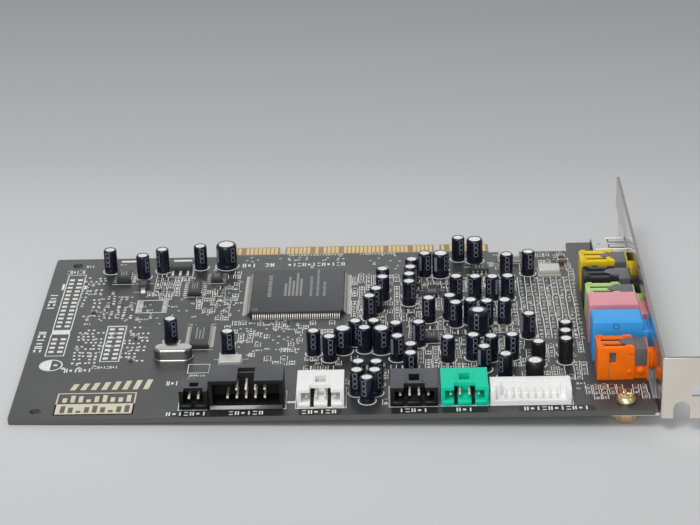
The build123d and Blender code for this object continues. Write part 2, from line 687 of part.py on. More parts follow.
# Straight sides with half-round ends, each end drawn as six flats
def crystal_outline(grow):
    radius = CRYSTAL_W / 2 + grow
    reach = (CRYSTAL_L - CRYSTAL_W) / 2
    points = []
    for side, start in ((1, -90), (-1, 90)):
        for i in range(7):
            turn = radians(start + 30 * i)
            points.append((CRYSTAL_X + side * reach + radius * cos(turn), CRYSTAL_Y + radius * sin(turn)))
    return points


def resonator_base(x, y):
    return seated(x, y, RESONATOR_L, RESONATOR_W, TOP, TOP + RESONATOR_BASE_H)


def resonator_lid(x, y):
    low = TOP + RESONATOR_BASE_H
    step = 2 * RESONATOR_STEP
    return seated(x, y, RESONATOR_L - step, RESONATOR_W - step, low, low + RESONATOR_LID_H)


def cans(places, diameter, height):
    return [sided_z(x, y, diameter, TOP, TOP + height, CAN_SIDES) for x, y in places]


os.makedirs("parts", exist_ok=True)
orange_y, blue_y, pink_y, green_y, black_y, yellow_y = jack_centres()
open_centres = (orange_y, green_y, black_y, yellow_y)

save("circuit_board", circuit_board())
save("edge_contacts_component_side", *edge_contacts(BLANK_COMPONENT_SIDE, TOP, TOP + CONTACT_T))
save("edge_contacts_solder_side", *edge_contacts(BLANK_SOLDER_SIDE, -TOP - CONTACT_T, -TOP))
save("bracket", bracket())
save("bracket_screw", screw())
save("bracket_washer", washer())
save("bracket_nut", nut())

save("jack_housing_orange", open_jack(orange_y))
save("jack_housing_blue", closed_jack(blue_y))
save("jack_housing_pink", closed_jack(pink_y))
save("jack_housing_green", open_jack(green_y))
save("jack_housing_black", open_jack(black_y))
save("jack_housing_yellow", open_jack(yellow_y))
save("jack_springs", *[spring for y in open_centres for spring in jack_springs(y)])
save("jack_clips", *[jack_clip(y) for y in open_centres])

save("port_shell", port_shell())
save("port_insulator", port_insulator())
save("port_contacts", *port_contacts())

save("digital_header_housing", shrouded_header(TWO_PIN_X, TWO_PIN_W, TWO_PIN_L, *TWO_PIN_MOUTH))
save("digital_header_pins", *header_pins(TWO_PIN_X, TWO_PIN_CAVITY_D, 2))
save("box_header_housing", box_header())
save("box_header_pins", *box_header_pins())
for name, x in zip(("white", "black", "green"), AUDIO_X):
    save("audio_header_housing_" + name, shrouded_header(x, AUDIO_W, AUDIO_L, *AUDIO_MOUTH))
save("audio_header_pins", *[pin for x in AUDIO_X for pin in header_pins(x, AUDIO_CAVITY_D, 4)])
save("wafer_header_housing", wafer_header())
save("wafer_header_pins", *wafer_pins())

save("signal_processor_body", dsp_body())
save("signal_processor_leads", *dsp_leads())
save("interface_chip_body", chip(INTERFACE_CHIP))
save("memory_chip_body", chip(MEMORY_CHIP))
save("amplifier_chip_bodies", *[chip(spec) for spec in AMPLIFIER_CHIPS])
save("switch_chip_body", chip(SWITCH_CHIP))
save("regulator_body", chip(REGULATOR))
save("regulator_metal", *regulator_metal())
save("diode_body", chip(DIODE))
save("crystal_can", crystal())
save("resonator_bases", *[resonator_base(x, y) for x, y in RESONATORS])
save("resonator_lids", *[resonator_lid(x, y) for x, y in RESONATORS])

save("capacitors_4mm", *cans(CAN_4, CAN_4_D, CAN_H))
save("capacitors_5mm", *cans(CAN_5, CAN_5_D, CAN_H))
save("capacitors_6mm", *cans(CAN_6, CAN_6_D, CAN_H))
save("capacitors_plain", *cans(PLAIN_CANS, PLAIN_CAN_D, CAN_H))
save("capacitor_short", *cans((SHORT_CAN,), SHORT_CAN_D, SHORT_CAN_H))
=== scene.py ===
import math
import random
import bpy
import bmesh
from mathutils import Matrix, Vector


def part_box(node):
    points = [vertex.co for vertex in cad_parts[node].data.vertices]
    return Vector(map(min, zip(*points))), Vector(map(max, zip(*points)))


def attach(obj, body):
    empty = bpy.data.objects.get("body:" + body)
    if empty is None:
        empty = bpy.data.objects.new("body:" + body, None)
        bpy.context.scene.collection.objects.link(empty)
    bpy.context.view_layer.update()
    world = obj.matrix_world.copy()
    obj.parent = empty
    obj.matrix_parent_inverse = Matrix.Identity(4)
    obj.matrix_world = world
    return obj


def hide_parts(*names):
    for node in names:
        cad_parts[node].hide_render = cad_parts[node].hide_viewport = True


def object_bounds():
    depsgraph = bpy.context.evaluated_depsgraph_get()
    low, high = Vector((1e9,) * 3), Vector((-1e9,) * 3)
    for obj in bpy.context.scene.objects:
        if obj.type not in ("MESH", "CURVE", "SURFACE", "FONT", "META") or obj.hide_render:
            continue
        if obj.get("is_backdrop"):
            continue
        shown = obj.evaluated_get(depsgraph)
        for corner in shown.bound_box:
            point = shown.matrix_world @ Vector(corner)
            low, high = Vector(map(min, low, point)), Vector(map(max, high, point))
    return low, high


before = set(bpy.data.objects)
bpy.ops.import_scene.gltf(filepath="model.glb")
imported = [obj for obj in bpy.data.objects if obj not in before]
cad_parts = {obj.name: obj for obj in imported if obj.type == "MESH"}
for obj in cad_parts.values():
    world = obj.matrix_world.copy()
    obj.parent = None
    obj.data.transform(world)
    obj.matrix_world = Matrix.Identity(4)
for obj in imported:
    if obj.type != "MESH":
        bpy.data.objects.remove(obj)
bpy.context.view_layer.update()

# Circuit board: glass-epoxy sheet under black solder mask, bare laminate along the keyed tongue.
# The sheet itself is the CAD solid; its etched copper tracks stand a hair proud under the mask,
# and drilled vias with tinned rings join its two sides. Sizes are in millimetres.
MM = 0.001
FACE, BACK = 0.785, -0.785


def add_node(tree, kind, inputs=(), **settings):
    """Shader node with its settings; each input is a value or the output that feeds it."""
    node = tree.nodes.new("ShaderNode" + kind)
    for setting, value in settings.items():
        setattr(node, setting, value)
    for socket, value in dict(inputs).items():
        if isinstance(value, bpy.types.NodeSocket):
            tree.links.new(value, node.inputs[socket])
        else:
            node.inputs[socket].default_value = value
    return node


def reckon(tree, operation, *values, clamp=False):
    """Output of a math node."""
    return add_node(tree, "Math", enumerate(values), operation=operation, use_clamp=clamp).outputs[0]


def blend(tree, factor, first, second):
    """Output of two colours mixed by a factor."""
    mixed = add_node(tree, "Mix", {"Factor": factor, "A": first, "B": second}, data_type="RGBA")
    return mixed.outputs["Result"]


def axes(tree, kind, vector):
    """X, Y and Z of a vector that a node gives: a place on the piece, or the way a face looks."""
    return add_node(tree, "SeparateXYZ", {"Vector": add_node(tree, kind).outputs[vector]}).outputs


def surface_group():
    """Grain, patches and relief that every finish on the card carries, each with its own values."""
    group = bpy.data.node_groups.new("card_surface", "ShaderNodeTree")
    colour, value, vector = "NodeSocketColor", "NodeSocketFloat", "NodeSocketVector"
    takes = {
        "Colour": colour, "Tint": colour, "Stretch": vector, "Grain": value, "Patch": value,
        "Rough": value, "Spread": value, "Relief": value,
    }
    gives = {"Colour": colour, "Roughness": value, "Normal": vector}
    for way, sockets in (("INPUT", takes), ("OUTPUT", gives)):
        for label, kind in sockets.items():
            group.interface.new_socket(label, in_out=way, socket_type=kind)
    given = group.nodes.new("NodeGroupInput").outputs
    made = group.nodes.new("NodeGroupOutput").inputs
    place = add_node(group, "TexCoord").outputs["Object"]
    drawn = add_node(group, "VectorMath", {0: place, 1: given["Stretch"]}, operation="MULTIPLY").outputs[0]
    fine, wide = (
        add_node(group, "TexNoise", {"Vector": drawn, "Scale": given[size], "Detail": detail}).outputs["Fac"]
        for size, detail in (("Grain", 3), ("Patch", 4))
    )
    both = add_node(group, "Mix", {"Factor": 0.45, "A": wide, "B": fine}).outputs["Result"]
    steep = add_node(group, "MapRange", {"Value": both, "From Min": 0.32, "From Max": 0.68}).outputs["Result"]
    bump = add_node(group, "Bump", {"Distance": 0.00004, "Strength": given["Relief"], "Height": fine})
    group.links.new(blend(group, steep, given["Colour"], given["Tint"]), made["Colour"])
    group.links.new(reckon(group, "MULTIPLY_ADD", steep, given["Spread"], given["Rough"]), made["Roughness"])
    group.links.new(bump.outputs["Normal"], made["Normal"])
    return group


surface = surface_group()


def finish(name, colour, tint, rough, spread=0.12, grain=3500, patch=140, relief=0.25, stretch=(1, 1, 1),
           metal=0.0, coat=0.0, shine=0.5):
    """Two close colours, roughness and grain, with bare metal or a coat where the finish has one."""
    material = bpy.data.materials.new(name)
    material.use_nodes = True
    tree = material.node_tree
    shader = tree.nodes["Principled BSDF"]
    given = {
        "Colour": (*colour, 1), "Tint": (*tint, 1), "Stretch": stretch, "Grain": grain, "Patch": patch,
        "Rough": rough, "Spread": spread, "Relief": relief,
    }
    detail = add_node(tree, "Group", given, node_tree=surface, name="detail")
    for output, socket in (("Colour", "Base Color"), ("Roughness", "Roughness"), ("Normal", "Normal")):
        tree.links.new(detail.outputs[output], shader.inputs[socket])
    shader.inputs["Metallic"].default_value = metal
    shader.inputs["Specular IOR Level"].default_value = shine
    if coat:
        shader.inputs["Coat Weight"].default_value = coat
        shader.inputs["Coat Roughness"].default_value = 0.12
    return material


class Stock:
    """Corners in millimetres and faces of one piece, gathered before its mesh is made."""

    def __init__(self):
        self.points, self.faces = [], []

    def loft(self, loops, place=None, closed=False):
        """Skin over loops of equal count, capped at its two ends or closed on itself."""
        first, count = len(self.points), len(loops[0])
        for loop in loops:
            self.points += loop if place is None else [tuple(place @ Vector(p)) for p in loop]
        rows = [list(range(first + count * i, first + count * (i + 1))) for i in range(len(loops))]
        for a, b in zip(rows, rows[1:] + (rows[:1] if closed else [])):
            self.faces += [[a[k - 1], a[k], b[k], b[k - 1]] for k in range(count)]
        if not closed:
            self.faces += [rows[0][::-1], rows[-1]]

    def plate(self, outline, z0, z1, place=None, inset=0.0):
        """Flat outline between two heights; an inset draws its second edge in toward its middle."""
        mx = sum(x for x, _ in outline) / len(outline)
        my = sum(y for _, y in outline) / len(outline)
        drawn_in = []
        for x, y in outline:
            pull = inset / (math.hypot(x - mx, y - my) or 1.0)
            drawn_in.append((x - (x - mx) * pull, y - (y - my) * pull, z1))
        self.loft([[(x, y, z0) for x, y in outline], drawn_in], place)

    def block(self, x0, x1, y0, y1, z0, z1, place=None, inset=0.0):
        self.plate([(x0, y0), (x1, y0), (x1, y1), (x0, y1)], z0, z1, place, inset)

    def turned(self, profile, sides, place, closed=False):
        """Radius and height pairs turned about an upright axis."""
        turns = [2 * math.pi * i / sides for i in range(sides)]
        self.loft([[(r * math.cos(a), r * math.sin(a), z) for a in turns] for r, z in profile], place, closed)

    def arc(self, x, y, inner, outer, z0, z1, start=0.0, stop=360.0, steps=28, place=None):
        """Flat ring or part of one, as printed round a can or left round a hole."""
        whole = stop - start >= 360
        loops = []
        for i in range(steps if whole else steps + 1):
            turn = math.radians(start + (stop - start) * i / steps)
            section = ((inner, z0), (outer, z0), (outer, z1), (inner, z1))
            loops.append([(x + r * math.cos(turn), y + r * math.sin(turn), z) for r, z in section])
        self.loft(loops, place, closed=whole)

    def ribbon(self, path, width, z0, z1):
        """Flat line along a path on the board, mitred at its bends."""
        path = [Vector(p) for p in path]
        ways = [(b - a).normalized() for a, b in zip(path, path[1:])]
        loops = []
        for spot, d0, d1 in zip(path, ways[:1] + ways, ways + ways[-1:]):
            across = Vector((-d0.y - d1.y, d0.x + d1.x)).normalized()
            reach = across * (width / 2 / max(0.4, across.dot(Vector((-d0.y, d0.x)))))
            left, right = spot + reach, spot - reach
            loops.append([(*right, z0), (*left, z0), (*left, z1), (*right, z1)])
        self.loft(loops)

    def make(self, name, material, slot=None, replaces=(), smooth=0.6, ease=0.0):
        """Turns the stock into a piece that rides on the card."""
        mesh = bpy.data.meshes.new(name)
        mesh.from_pydata([(x * MM, y * MM, z * MM) for x, y, z in self.points], [], self.faces)
        shaped = bmesh.new()
        shaped.from_mesh(mesh)
        bmesh.ops.recalc_face_normals(shaped, faces=shaped.faces)
        return set_piece(name, mesh, shaped, material, replaces, smooth, ease)


def set_piece(name, mesh, shaped, material, replaces, smooth, ease):
    """Sets a shape on the card: eased edges, shading, finish, body and the solids it stands for."""
    if ease:
        sharp = [e for e in shaped.edges if e.is_manifold and e.calc_face_angle(0) > 0.5]
        bmesh.ops.bevel(shaped, geom=sharp, offset=ease * MM, segments=2, profile=0.6, affect="EDGES",
                        clamp_overlap=True)
    shaped.to_mesh(mesh)
    shaped.free()
    for face in mesh.polygons:
        face.use_smooth = smooth > 0
    if smooth > 0:
        mesh.set_sharp_from_angle(angle=smooth)
    mesh.materials.append(material)
    piece = bpy.data.objects.new(name, mesh)
    bpy.context.scene.collection.objects.link(piece)
    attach(piece, "root")
    if replaces:
        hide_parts(*replaces)
    return piece


MASK_END_Y, TONGUE_HALF = -6.3, 40.4
mask = finish("solder_mask_black", (0.027, 0.027, 0.029), (0.037, 0.037, 0.038), 0.34, grain=2200, patch=60,
              relief=0.12)
tree = mask.node_tree
spot, way = axes(tree, "TexCoord", "Object"), axes(tree, "NewGeometry", "True Normal")
cut_edge = reckon(tree, "LESS_THAN", reckon(tree, "ABSOLUTE", way["Z"]), 0.5)
sawn = blend(tree, cut_edge, tree.nodes["detail"].outputs["Colour"], (0.088, 0.087, 0.081, 1))
past_mask = reckon(tree, "GREATER_THAN", spot["Y"], MASK_END_Y * MM)
on_tongue = reckon(tree, "LESS_THAN", reckon(tree, "ABSOLUTE", spot["X"]), TONGUE_HALF * MM)
laminate = blend(tree, reckon(tree, "MULTIPLY", past_mask, on_tongue), sawn, (0.23, 0.165, 0.075, 1))
tree.links.new(laminate, tree.nodes["Principled BSDF"].inputs["Base Color"])
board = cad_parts["circuit_board"].data
board.materials.clear()
board.materials.append(mask)

track_mask = finish("solder_mask_over_copper", (0.043, 0.043, 0.044), (0.056, 0.056, 0.055), 0.3, 0.1,
                    grain=2200, patch=60, relief=0.1)
tracks = Stock()
for i in range(24):
    finger, lead, bend = -33.0 + 1.27 * i, -30.6 + 1.06 * i, -8.6 - 0.16 * i
    path = [(finger, -6.5), (finger, bend), (lead, bend - abs(lead - finger)), (lead, -18.6)]
    tracks.ribbon(path, 0.28, FACE, FACE + 0.03)
for i in range(14):
    x, y = -41.0 - 0.2 * i, -22.5 - 1.3 * i
    tracks.ribbon([(-34.6, y), (x + 2.8, y), (x, y - 2.8), (x, y - 5.5)], 0.26, FACE, FACE + 0.03)
for i in range(10):
    x, y = -28.4 + i, -53.0 - 0.5 * i
    path = [(x, -50.2), (x, y), (x - 3.2, y - 3.2), (x - 3.2, -74.0 + 0.6 * i)]
    tracks.ribbon(path, 0.26, FACE, FACE + 0.03)
for i in range(9):
    y = -80.4 - 0.9 * i
    path = [(-84.0 + i, y - 3), (-79.0, y - 3), (-76.0, y), (-56.0 + 0.9 * i, y)]
    tracks.ribbon(path, 0.3, FACE, FACE + 0.025)
for i in range(26):
    x, low = -78.0 + 5.1 * i, -98.0 + 1.7 * (i % 7)
    path = [(x, -14.0 - 2.2 * (i % 5)), (x, -38.0), (x + 6.0, -44.0)]
    path += [(x + 6.0, low + 8), (x + 2.0, low + 4), (x + 2.0, low)]
    tracks.ribbon(path, 0.4, BACK - 0.03, BACK)
for i in range(16):
    x, y = -49.0 + 2 * i, -20.0 - 4.9 * i
    tracks.ribbon([(-88.0, y), (x - 3, y), (x, y - 3), (58.0, y - 3)], 0.3, BACK - 0.04, BACK)
tracks.make("board_tracks", track_mask, "board_mask", smooth=0)

tin = finish("tinned_copper", (0.55, 0.55, 0.54), (0.70, 0.69, 0.66), 0.24, 0.2, grain=1800, patch=500,
             relief=0.3, metal=1.0)
# Painted shade: this near-black finish stands for the shade inside via holes, the cuts round the port's leaves and
# the slots in the audio headers.
hole_shade = finish("painted_hole_shade", (0.012, 0.012, 0.012), (0.02, 0.018, 0.015), 0.6, 0.1)
rng = random.Random(61)
via_rings, via_holes = Stock(), Stock()
via_fields = (
    (-50, -34, -48, -24, 46), (-35, -16, -75, -52, 34), (-36, -4, -11, -8, 22), (2, 13, -18, -8, 12),
    (-80, -66, -50, -32, 26), (-66, -48, -52, -30, 30), (22, 48, -32, -16, 30), (44, 64, -60, -24, 44),
    (-14, 22, -62, -48, 26), (52, 64, -104, -92, 12), (-30, -18, -66, -52, 12), (62, 79, -99, -92, 10),
    (-82, -60, -78, -54, 24),
)
for x0, x1, y0, y1, count in via_fields:
    for _ in range(count):
        x, y = rng.uniform(x0, x1), rng.uniform(y0, y1)
        for side, out in ((FACE, 1), (BACK, -1)):
            via_rings.arc(x, y, 0.16, 0.36, side, side + 0.035 * out, steps=10)
            via_holes.arc(x, y, 0.0001, 0.17, side, side + 0.028 * out, steps=8)
via_rings.make("via_rings", tin, "lead_tin")
via_holes.make("via_holes", hole_shade, "board_mask")

# Edge contacts: copper fingers plated with gold, flush on the laminate of the tongue.
# Sliding into a slot leaves fine scratches along them.


def solid_mesh(node):
    """The CAD solids of one node as a joined mesh with its flat faces whole."""
    shaped = bmesh.new()
    shaped.from_mesh(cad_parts[node].data)
    bmesh.ops.remove_doubles(shaped, verts=shaped.verts, dist=1e-6)
    bmesh.ops.dissolve_limit(shaped, angle_limit=0.01, verts=shaped.verts, edges=shaped.edges)
    return shaped


def eased(node, name, width, material, smooth=0.6):
    """A CAD node with its edges broken as moulding or stamping leaves them."""
    mesh = bpy.data.meshes.new(name)
    return set_piece(name, mesh, solid_mesh(node), material, (node,), smooth, width)


gold = finish("gold_plate", (0.54, 0.395, 0.17), (0.65, 0.49, 0.245), 0.32, 0.16, grain=900, patch=260,
              relief=0.2, stretch=(6, 1, 1), metal=1.0)
for side in ("component", "solder"):
    eased("edge_contacts_%s_side" % side, "edge_fingers_%s_side" % side, 0.02, gold)

# Bracket: one folded strip of plated steel with a bright, slightly streaked rolled face; its faces toward the near
# edge are painted brighter and warmer, as painted light.
# Its ear lies under the board, held by one screw with a cross recess, a washer and a nut.
plated = finish("plated_steel", (0.70, 0.675, 0.62), (0.79, 0.76, 0.71), 0.14, 0.10, grain=700, patch=55,
                relief=0.06, stretch=(1, 0.08, 1), metal=1.0)
tree = plated.node_tree
detail, look = tree.nodes["detail"].outputs, tree.nodes["Principled BSDF"].inputs
way = axes(tree, "NewGeometry", "True Normal")
sheared = reckon(tree, "GREATER_THAN", way["Z"], 0.6)
torn = blend(tree, sheared, detail["Colour"], (0.24, 0.235, 0.225, 1))
# Painted light: faces turned toward the near edge get a brighter, warmer colour than the rest of the plating.
painted_light_near_face = reckon(tree, "LESS_THAN", way["Y"], -0.7)
tree.links.new(blend(tree, painted_light_near_face, torn, (0.93, 0.865, 0.765, 1)), look["Base Color"])
tree.links.new(reckon(tree, "MULTIPLY_ADD", sheared, 0.3, detail["Roughness"]), look["Roughness"])
eased("bracket", "bracket_sheet", 0.14, plated, smooth=0.7)


def at(x, y, z=0.0, turn=0.0, axis="Z"):
    """Place on the card, turned by degrees about one axis."""
    return Matrix.Translation((x, y, z)) @ Matrix.Rotation(math.radians(turn), 4, axis)


zinc = finish("yellow_zinc", (0.76, 0.62, 0.30), (0.84, 0.74, 0.46), 0.2, 0.15, grain=1500, patch=400,
              relief=0.15, metal=1.0)
SCREW_X, SCREW_Y = 73.0, -101.6
head = Stock()
dome = [(2.7, 0.0), (2.8, 0.3), (2.78, 0.7), (2.6, 1.2), (2.2, 1.65), (1.5, 1.98), (0.8, 2.09)]
head.turned(dome, 48, at(SCREW_X, SCREW_Y, FACE))
screw_piece = head.make("bracket_screw_head", zinc, "yellow_zinc", ("bracket_screw",), smooth=0.7)
cross = Stock()
arm, half = 1.7, 0.4
plus = [(arm, -half), (arm, half), (half, half), (half, arm), (-half, arm), (-half, half)]
plus += [(-x, -y) for x, y in plus]
cross.plate(plus, 1.0, 2.6, at(SCREW_X, SCREW_Y, FACE, 20))
cutter = cross.make("cross_cutter", zinc)
drive = screw_piece.modifiers.new("cross recess", "BOOLEAN")
drive.object = cutter
drive.solver = "EXACT"
bpy.context.view_layer.update()
recessed = screw_piece.evaluated_get(bpy.context.evaluated_depsgraph_get())
screw_mesh = bpy.data.meshes.new_from_object(recessed)
screw_piece.modifiers.clear()
screw_piece.data = screw_mesh
bpy.data.objects.remove(cutter)
shank = Stock()
threads = [(1.45, FACE + 0.1), (1.45, -2.1), (1.2, -2.3)]
for k in range(9):
    threads += [(1.45, -2.4 - 0.32 * k), (1.2, -2.56 - 0.32 * k)]
shank.turned(threads, 24, at(SCREW_X, SCREW_Y))
shank.make("bracket_screw_thread", zinc, "yellow_zinc")

pale = finish("pale_plate", (0.70, 0.66, 0.58), (0.78, 0.74, 0.66), 0.3, 0.1, metal=1.0)
ring = Stock()
ring.arc(SCREW_X, SCREW_Y, 1.6, 3.1, -2.345, -1.645, steps=40)
ring.make("bracket_washer_ring", pale, "washer_metal", ("bracket_washer",), ease=0.08)
brass = finish("plain_brass", (0.60, 0.38, 0.20), (0.70, 0.47, 0.27), 0.26, metal=1.0)
eased("bracket_nut", "bracket_nut_hexagon", 0.16, brass)

# Audio jacks: moulded housings, colour coded, soldered to the board with barrels through the bracket.
# Four are open frames with springs in grooves and a grey shield clip; two are closed blocks.
JACK_FIRST_Y, JACK_PITCH, JACK_AXIS_Z = -86.0, 10.9, FACE + 4.7
jack_colours = {
    "orange": ((0.86, 0.15, 0.003), (0.92, 0.18, 0.006), "orange_plastic"),
    "blue": ((0.040, 0.31, 0.74), (0.055, 0.36, 0.80), "blue_plastic"),
    "pink": ((0.66, 0.27, 0.31), (0.72, 0.31, 0.35), "pink_plastic"),
    "green": ((0.41, 0.60, 0.20), (0.47, 0.66, 0.24), "lime_plastic"),
    "black": ((0.020, 0.020, 0.022), (0.030, 0.030, 0.031), "black_plastic"),
    "yellow": ((0.70, 0.50, 0.011), (0.78, 0.57, 0.018), "yellow_plastic"),
}
open_jacks = ("orange", "green", "black", "yellow")
plastics, jack_y = {}, {}
for i, (colour, (base, tint, slot)) in enumerate(jack_colours.items()):
    plastic = finish("moulded_" + colour, base, tint, 0.34, grain=2600, patch=90, relief=0.2, shine=0.16)
    plastics[colour] = plastic
    y = jack_y[colour] = JACK_FIRST_Y + JACK_PITCH * i
    eased("jack_housing_" + colour, "jack_body_" + colour, 0.16, plastic)
    barrel = Stock()
    start = 80.2 if colour in open_jacks else 81.2
    section = [(3.02, start), (3.02, 83.0), (2.9, 83.25), (2.35, 83.3)]
    section += [(2.1, 83.22), (1.79, 82.7), (1.79, start)]
    barrel.turned(section, 48, at(0, y, JACK_AXIS_Z, 90, "Y"), closed=True)
    if colour in open_jacks:
        boss = at(78.1, y - 3.1, FACE + 2.8, 90, "X")
        barrel.turned([(1.05, 0.0), (1.05, 0.75), (0.9, 0.95), (0.5, 1.05)], 28, boss)
        for x0, x1 in ((66.6, 68.2), (73.6, 75.9)):
            for mid in (y - 3.0, y + 3.0):
                barrel.block(x0, x1, mid - 0.5, mid + 0.5, FACE + 9.75, FACE + 10.25, inset=0.12)
        wide, low, out = (2.0, 7.9, 0.9) if colour == "yellow" else (1.4, 8.6, 0.5)
        barrel.block(76.1 - wide, 76.1, y - 3.8 - out, y - 3.0, FACE + low, FACE + 10.3, inset=0.25)
        button = at(75.0, y - 3.75, FACE + 2.5, 90, "X")
        barrel.turned([(0.75, 0.0), (0.72, 0.2), (0.5, 0.36), (0.2, 0.4)], 24, button)
    elif colour == "blue":
        # Painted shade: the blue jack's round moulded mark is a ring in a darker copy of its plastic, standing for
        # the shade of its relief.
        painted_shade_base, painted_shade_tint = [v * 0.6 for v in base], [v * 0.7 for v in tint]
        shade = finish("moulded_%s_shade" % colour, painted_shade_base, painted_shade_tint, 0.4, 0.1, shine=0.16)
        seal = Stock()
        seal.arc(0, 0, 0.6, 0.95, 0.0, 0.06, place=at(72.3, y - 3.88, FACE + 10.9, 90, "X"))
        seal.make("jack_seal_" + colour, shade, slot)
    barrel.make("jack_barrel_" + colour, plastic, slot, smooth=0.7)

spring_bright = finish("spring_strip", (0.62, 0.61, 0.58), (0.72, 0.70, 0.66), 0.22, stretch=(1, 6, 6), metal=1.0)
shield_grey = finish("shield_strip", (0.085, 0.085, 0.092), (0.125, 0.125, 0.13), 0.42, grain=1200, patch=120,
                     relief=0.1)
# Spring blades stand in the grooves of the open jacks; their near-black colour is painted shade for the grooves
# they stand in.
blade_painted_shade = finish("spring_blade", (0.030, 0.026, 0.022), (0.055, 0.048, 0.040), 0.4, 0.14,
                    stretch=(1, 6, 6), metal=0.4)
eased("jack_springs", "jack_spring_strips", 0.05, spring_bright)
eased("jack_clips", "jack_shield_clips", 0.07, shield_grey)
tongues, slot_shades, blades, pegs = Stock(), Stock(), Stock(), Stock()
for colour in open_jacks:
    y = jack_y[colour]
    tongue = [(72.4, -0.5), (74.6, -1.9), (76.5, -2.4), (76.5, 2.4), (74.2, 2.0), (72.4, 0.4)]
    tongues.plate(tongue, 9.82, 10.0, at(0, y, FACE))
    slot_shades.block(69.52, 71.28, y - 2.95, y - 2.91, FACE + 5.02, FACE + 8.38)
    slot_shades.block(69.32, 69.48, y - 3.825, y - 3.78, FACE + 0.4, FACE + 5.0)
    for far in (y - 0.7, y + 2.2):
        blades.block(67.6, 74.9, far - 0.3, far - 0.03, FACE + 6.9, FACE + 9.35)
for x, y in ((74.6, jack_y["yellow"] - 2.6), (75.4, jack_y["yellow"] + 2.6)):
    pegs.turned([(0.85, 9.7), (0.85, 10.25), (0.65, 10.5), (0.3, 10.6)], 24, at(x, y, FACE))
tongues.make("jack_shield_tongues", shield_grey, "clip_metal", ease=0.04)
slot_shades.make("jack_slot_shades", shield_grey, "clip_metal", smooth=0)
blades.make("jack_spring_blades", blade_painted_shade, "spring_metal", ease=0.05)
pegs.make("jack_pegs_yellow", plastics["yellow"], "yellow_plastic", smooth=0.8)

# Serial bus port: folded tinplate shell round a black block with a contact tongue.
# Spring leaves are cut in its roof, and two feet are soldered through the board.
PORT_ROOF = FACE + 7.5
shell_bright = finish("port_tinplate", (0.36, 0.37, 0.355), (0.44, 0.45, 0.43), 0.24, 0.14, grain=900, patch=150,
                      relief=0.08, metal=1.0)
hem_highlight = finish("port_hem_painted_highlight", (0.80, 0.80, 0.77), (0.88, 0.88, 0.85), 0.36, 0.08, metal=0.1)
eased("port_shell", "port_shell_tinplate", 0.1, shell_bright)
eased("port_insulator", "port_block", 0.12, plastics["black"])
eased("port_contacts", "port_contact_strips", 0.04, gold)
leaves, gaps, hem_highlights = Stock(), Stock(), Stock()
for y in (-19.9, -16.2):
    leaf = [(76.3, y - 0.75), (81.0, y - 1.0), (81.0, y + 1.0), (76.3, y + 0.75)]
    leaves.plate(leaf, PORT_ROOF - 0.05, PORT_ROOF + 0.12)
    cut = [(80.9, y - 1.25), (76.0, y - 1.0), (76.0, y + 1.0), (80.9, y + 1.25)]
    gaps.ribbon(cut, 0.3, PORT_ROOF - 0.03, PORT_ROOF + 0.03)
leaves.turned([(0.5, -0.05), (0.5, 0.03), (0.25, 0.1)], 20, at(73.2, -18.2, PORT_ROOF))
# Painted highlight: pale lines along the roof's near and far hems, where the shell's edges catch the light.
for x0, x1, y, wide in ((72.0, 82.0, -21.95, 0.6), (75.4, 80.8, -14.4, 0.8)):
    hem_highlights.ribbon([(x0, y), (x1, y)], wide, PORT_ROOF - 0.02, PORT_ROOF + 0.04)
hem_highlights.make("port_shell_hem_highlights", hem_highlight, "shell_steel", smooth=0)
leaves.make("port_spring_leaves", shell_bright, "shell_steel", ease=0.03)
gaps.make("port_leaf_gaps", hole_shade, "black_plastic", smooth=0)

# Cable headers: nylon shrouds lying along the near edge, mouths toward it, with square tinned pins.
# Roof windows take the plug's latch, and side ribs and lips guide the plug.
FRONT, AUDIO_ROOF, AUDIO_X = -102.8, FACE + 5.8, (-9.6, 15.8, 29.4)
nylon_white = finish("nylon_white", (0.77, 0.77, 0.755), (0.83, 0.83, 0.815), 0.42, 0.1, grain=1800, patch=110,
                     relief=0.12, shine=0.3)
nylon_teal = finish("nylon_green", (0.003, 0.54, 0.33), (0.006, 0.60, 0.38), 0.42, 0.1, grain=1800, patch=110,
                    relief=0.12, shine=0.1)
header_black = finish("nylon_black", (0.005, 0.005, 0.006), (0.010, 0.010, 0.011), 0.40, grain=1800, patch=110,
                      relief=0.15, shine=0.2)
# Painted sheen: the roof faces of the black shrouds are coloured a lighter blue-grey for the sheen of the bright
# room on them; walls and mouths keep the near-black nylon.
tree = header_black.node_tree
spot, way = axes(tree, "TexCoord", "Object"), axes(tree, "NewGeometry", "True Normal")
above = reckon(tree, "GREATER_THAN", spot["Z"], (FACE + 4.9) * MM)
painted_sheen_roof = reckon(tree, "MULTIPLY", above, way["Z"], clamp=True)
painted_light_look = blend(tree, painted_sheen_roof, tree.nodes["detail"].outputs["Colour"], (0.074, 0.078, 0.090, 1))
tree.links.new(painted_light_look, tree.nodes["Principled BSDF"].inputs["Base Color"])
polished_black = finish("nylon_black_edge", (0.030, 0.030, 0.032), (0.036, 0.036, 0.038), 0.3, 0.03, grain=1800,
                        patch=110, relief=0.0, coat=0.4)
pin_tin = finish("pin_tin", (0.78, 0.72, 0.58), (0.86, 0.82, 0.70), 0.32, 0.1, metal=0.55)
wafer_tin = finish("wafer_tin", (0.78, 0.78, 0.76), (0.86, 0.86, 0.84), 0.34, 0.1, metal=0.3)
header_makers = (
    ("digital_header_housing", header_black, "black_plastic"),
    ("box_header_housing", header_black, "black_plastic"),
    ("audio_header_housing_white", nylon_white, "white_plastic"),
    ("audio_header_housing_black", header_black, "black_plastic"),
    ("audio_header_housing_green", nylon_teal, "teal_plastic"),
    ("wafer_header_housing", nylon_white, "white_plastic"),
)
for node, plastic, slot in header_makers:
    eased(node, node.replace("housing", "shroud"), 0.13, plastic)
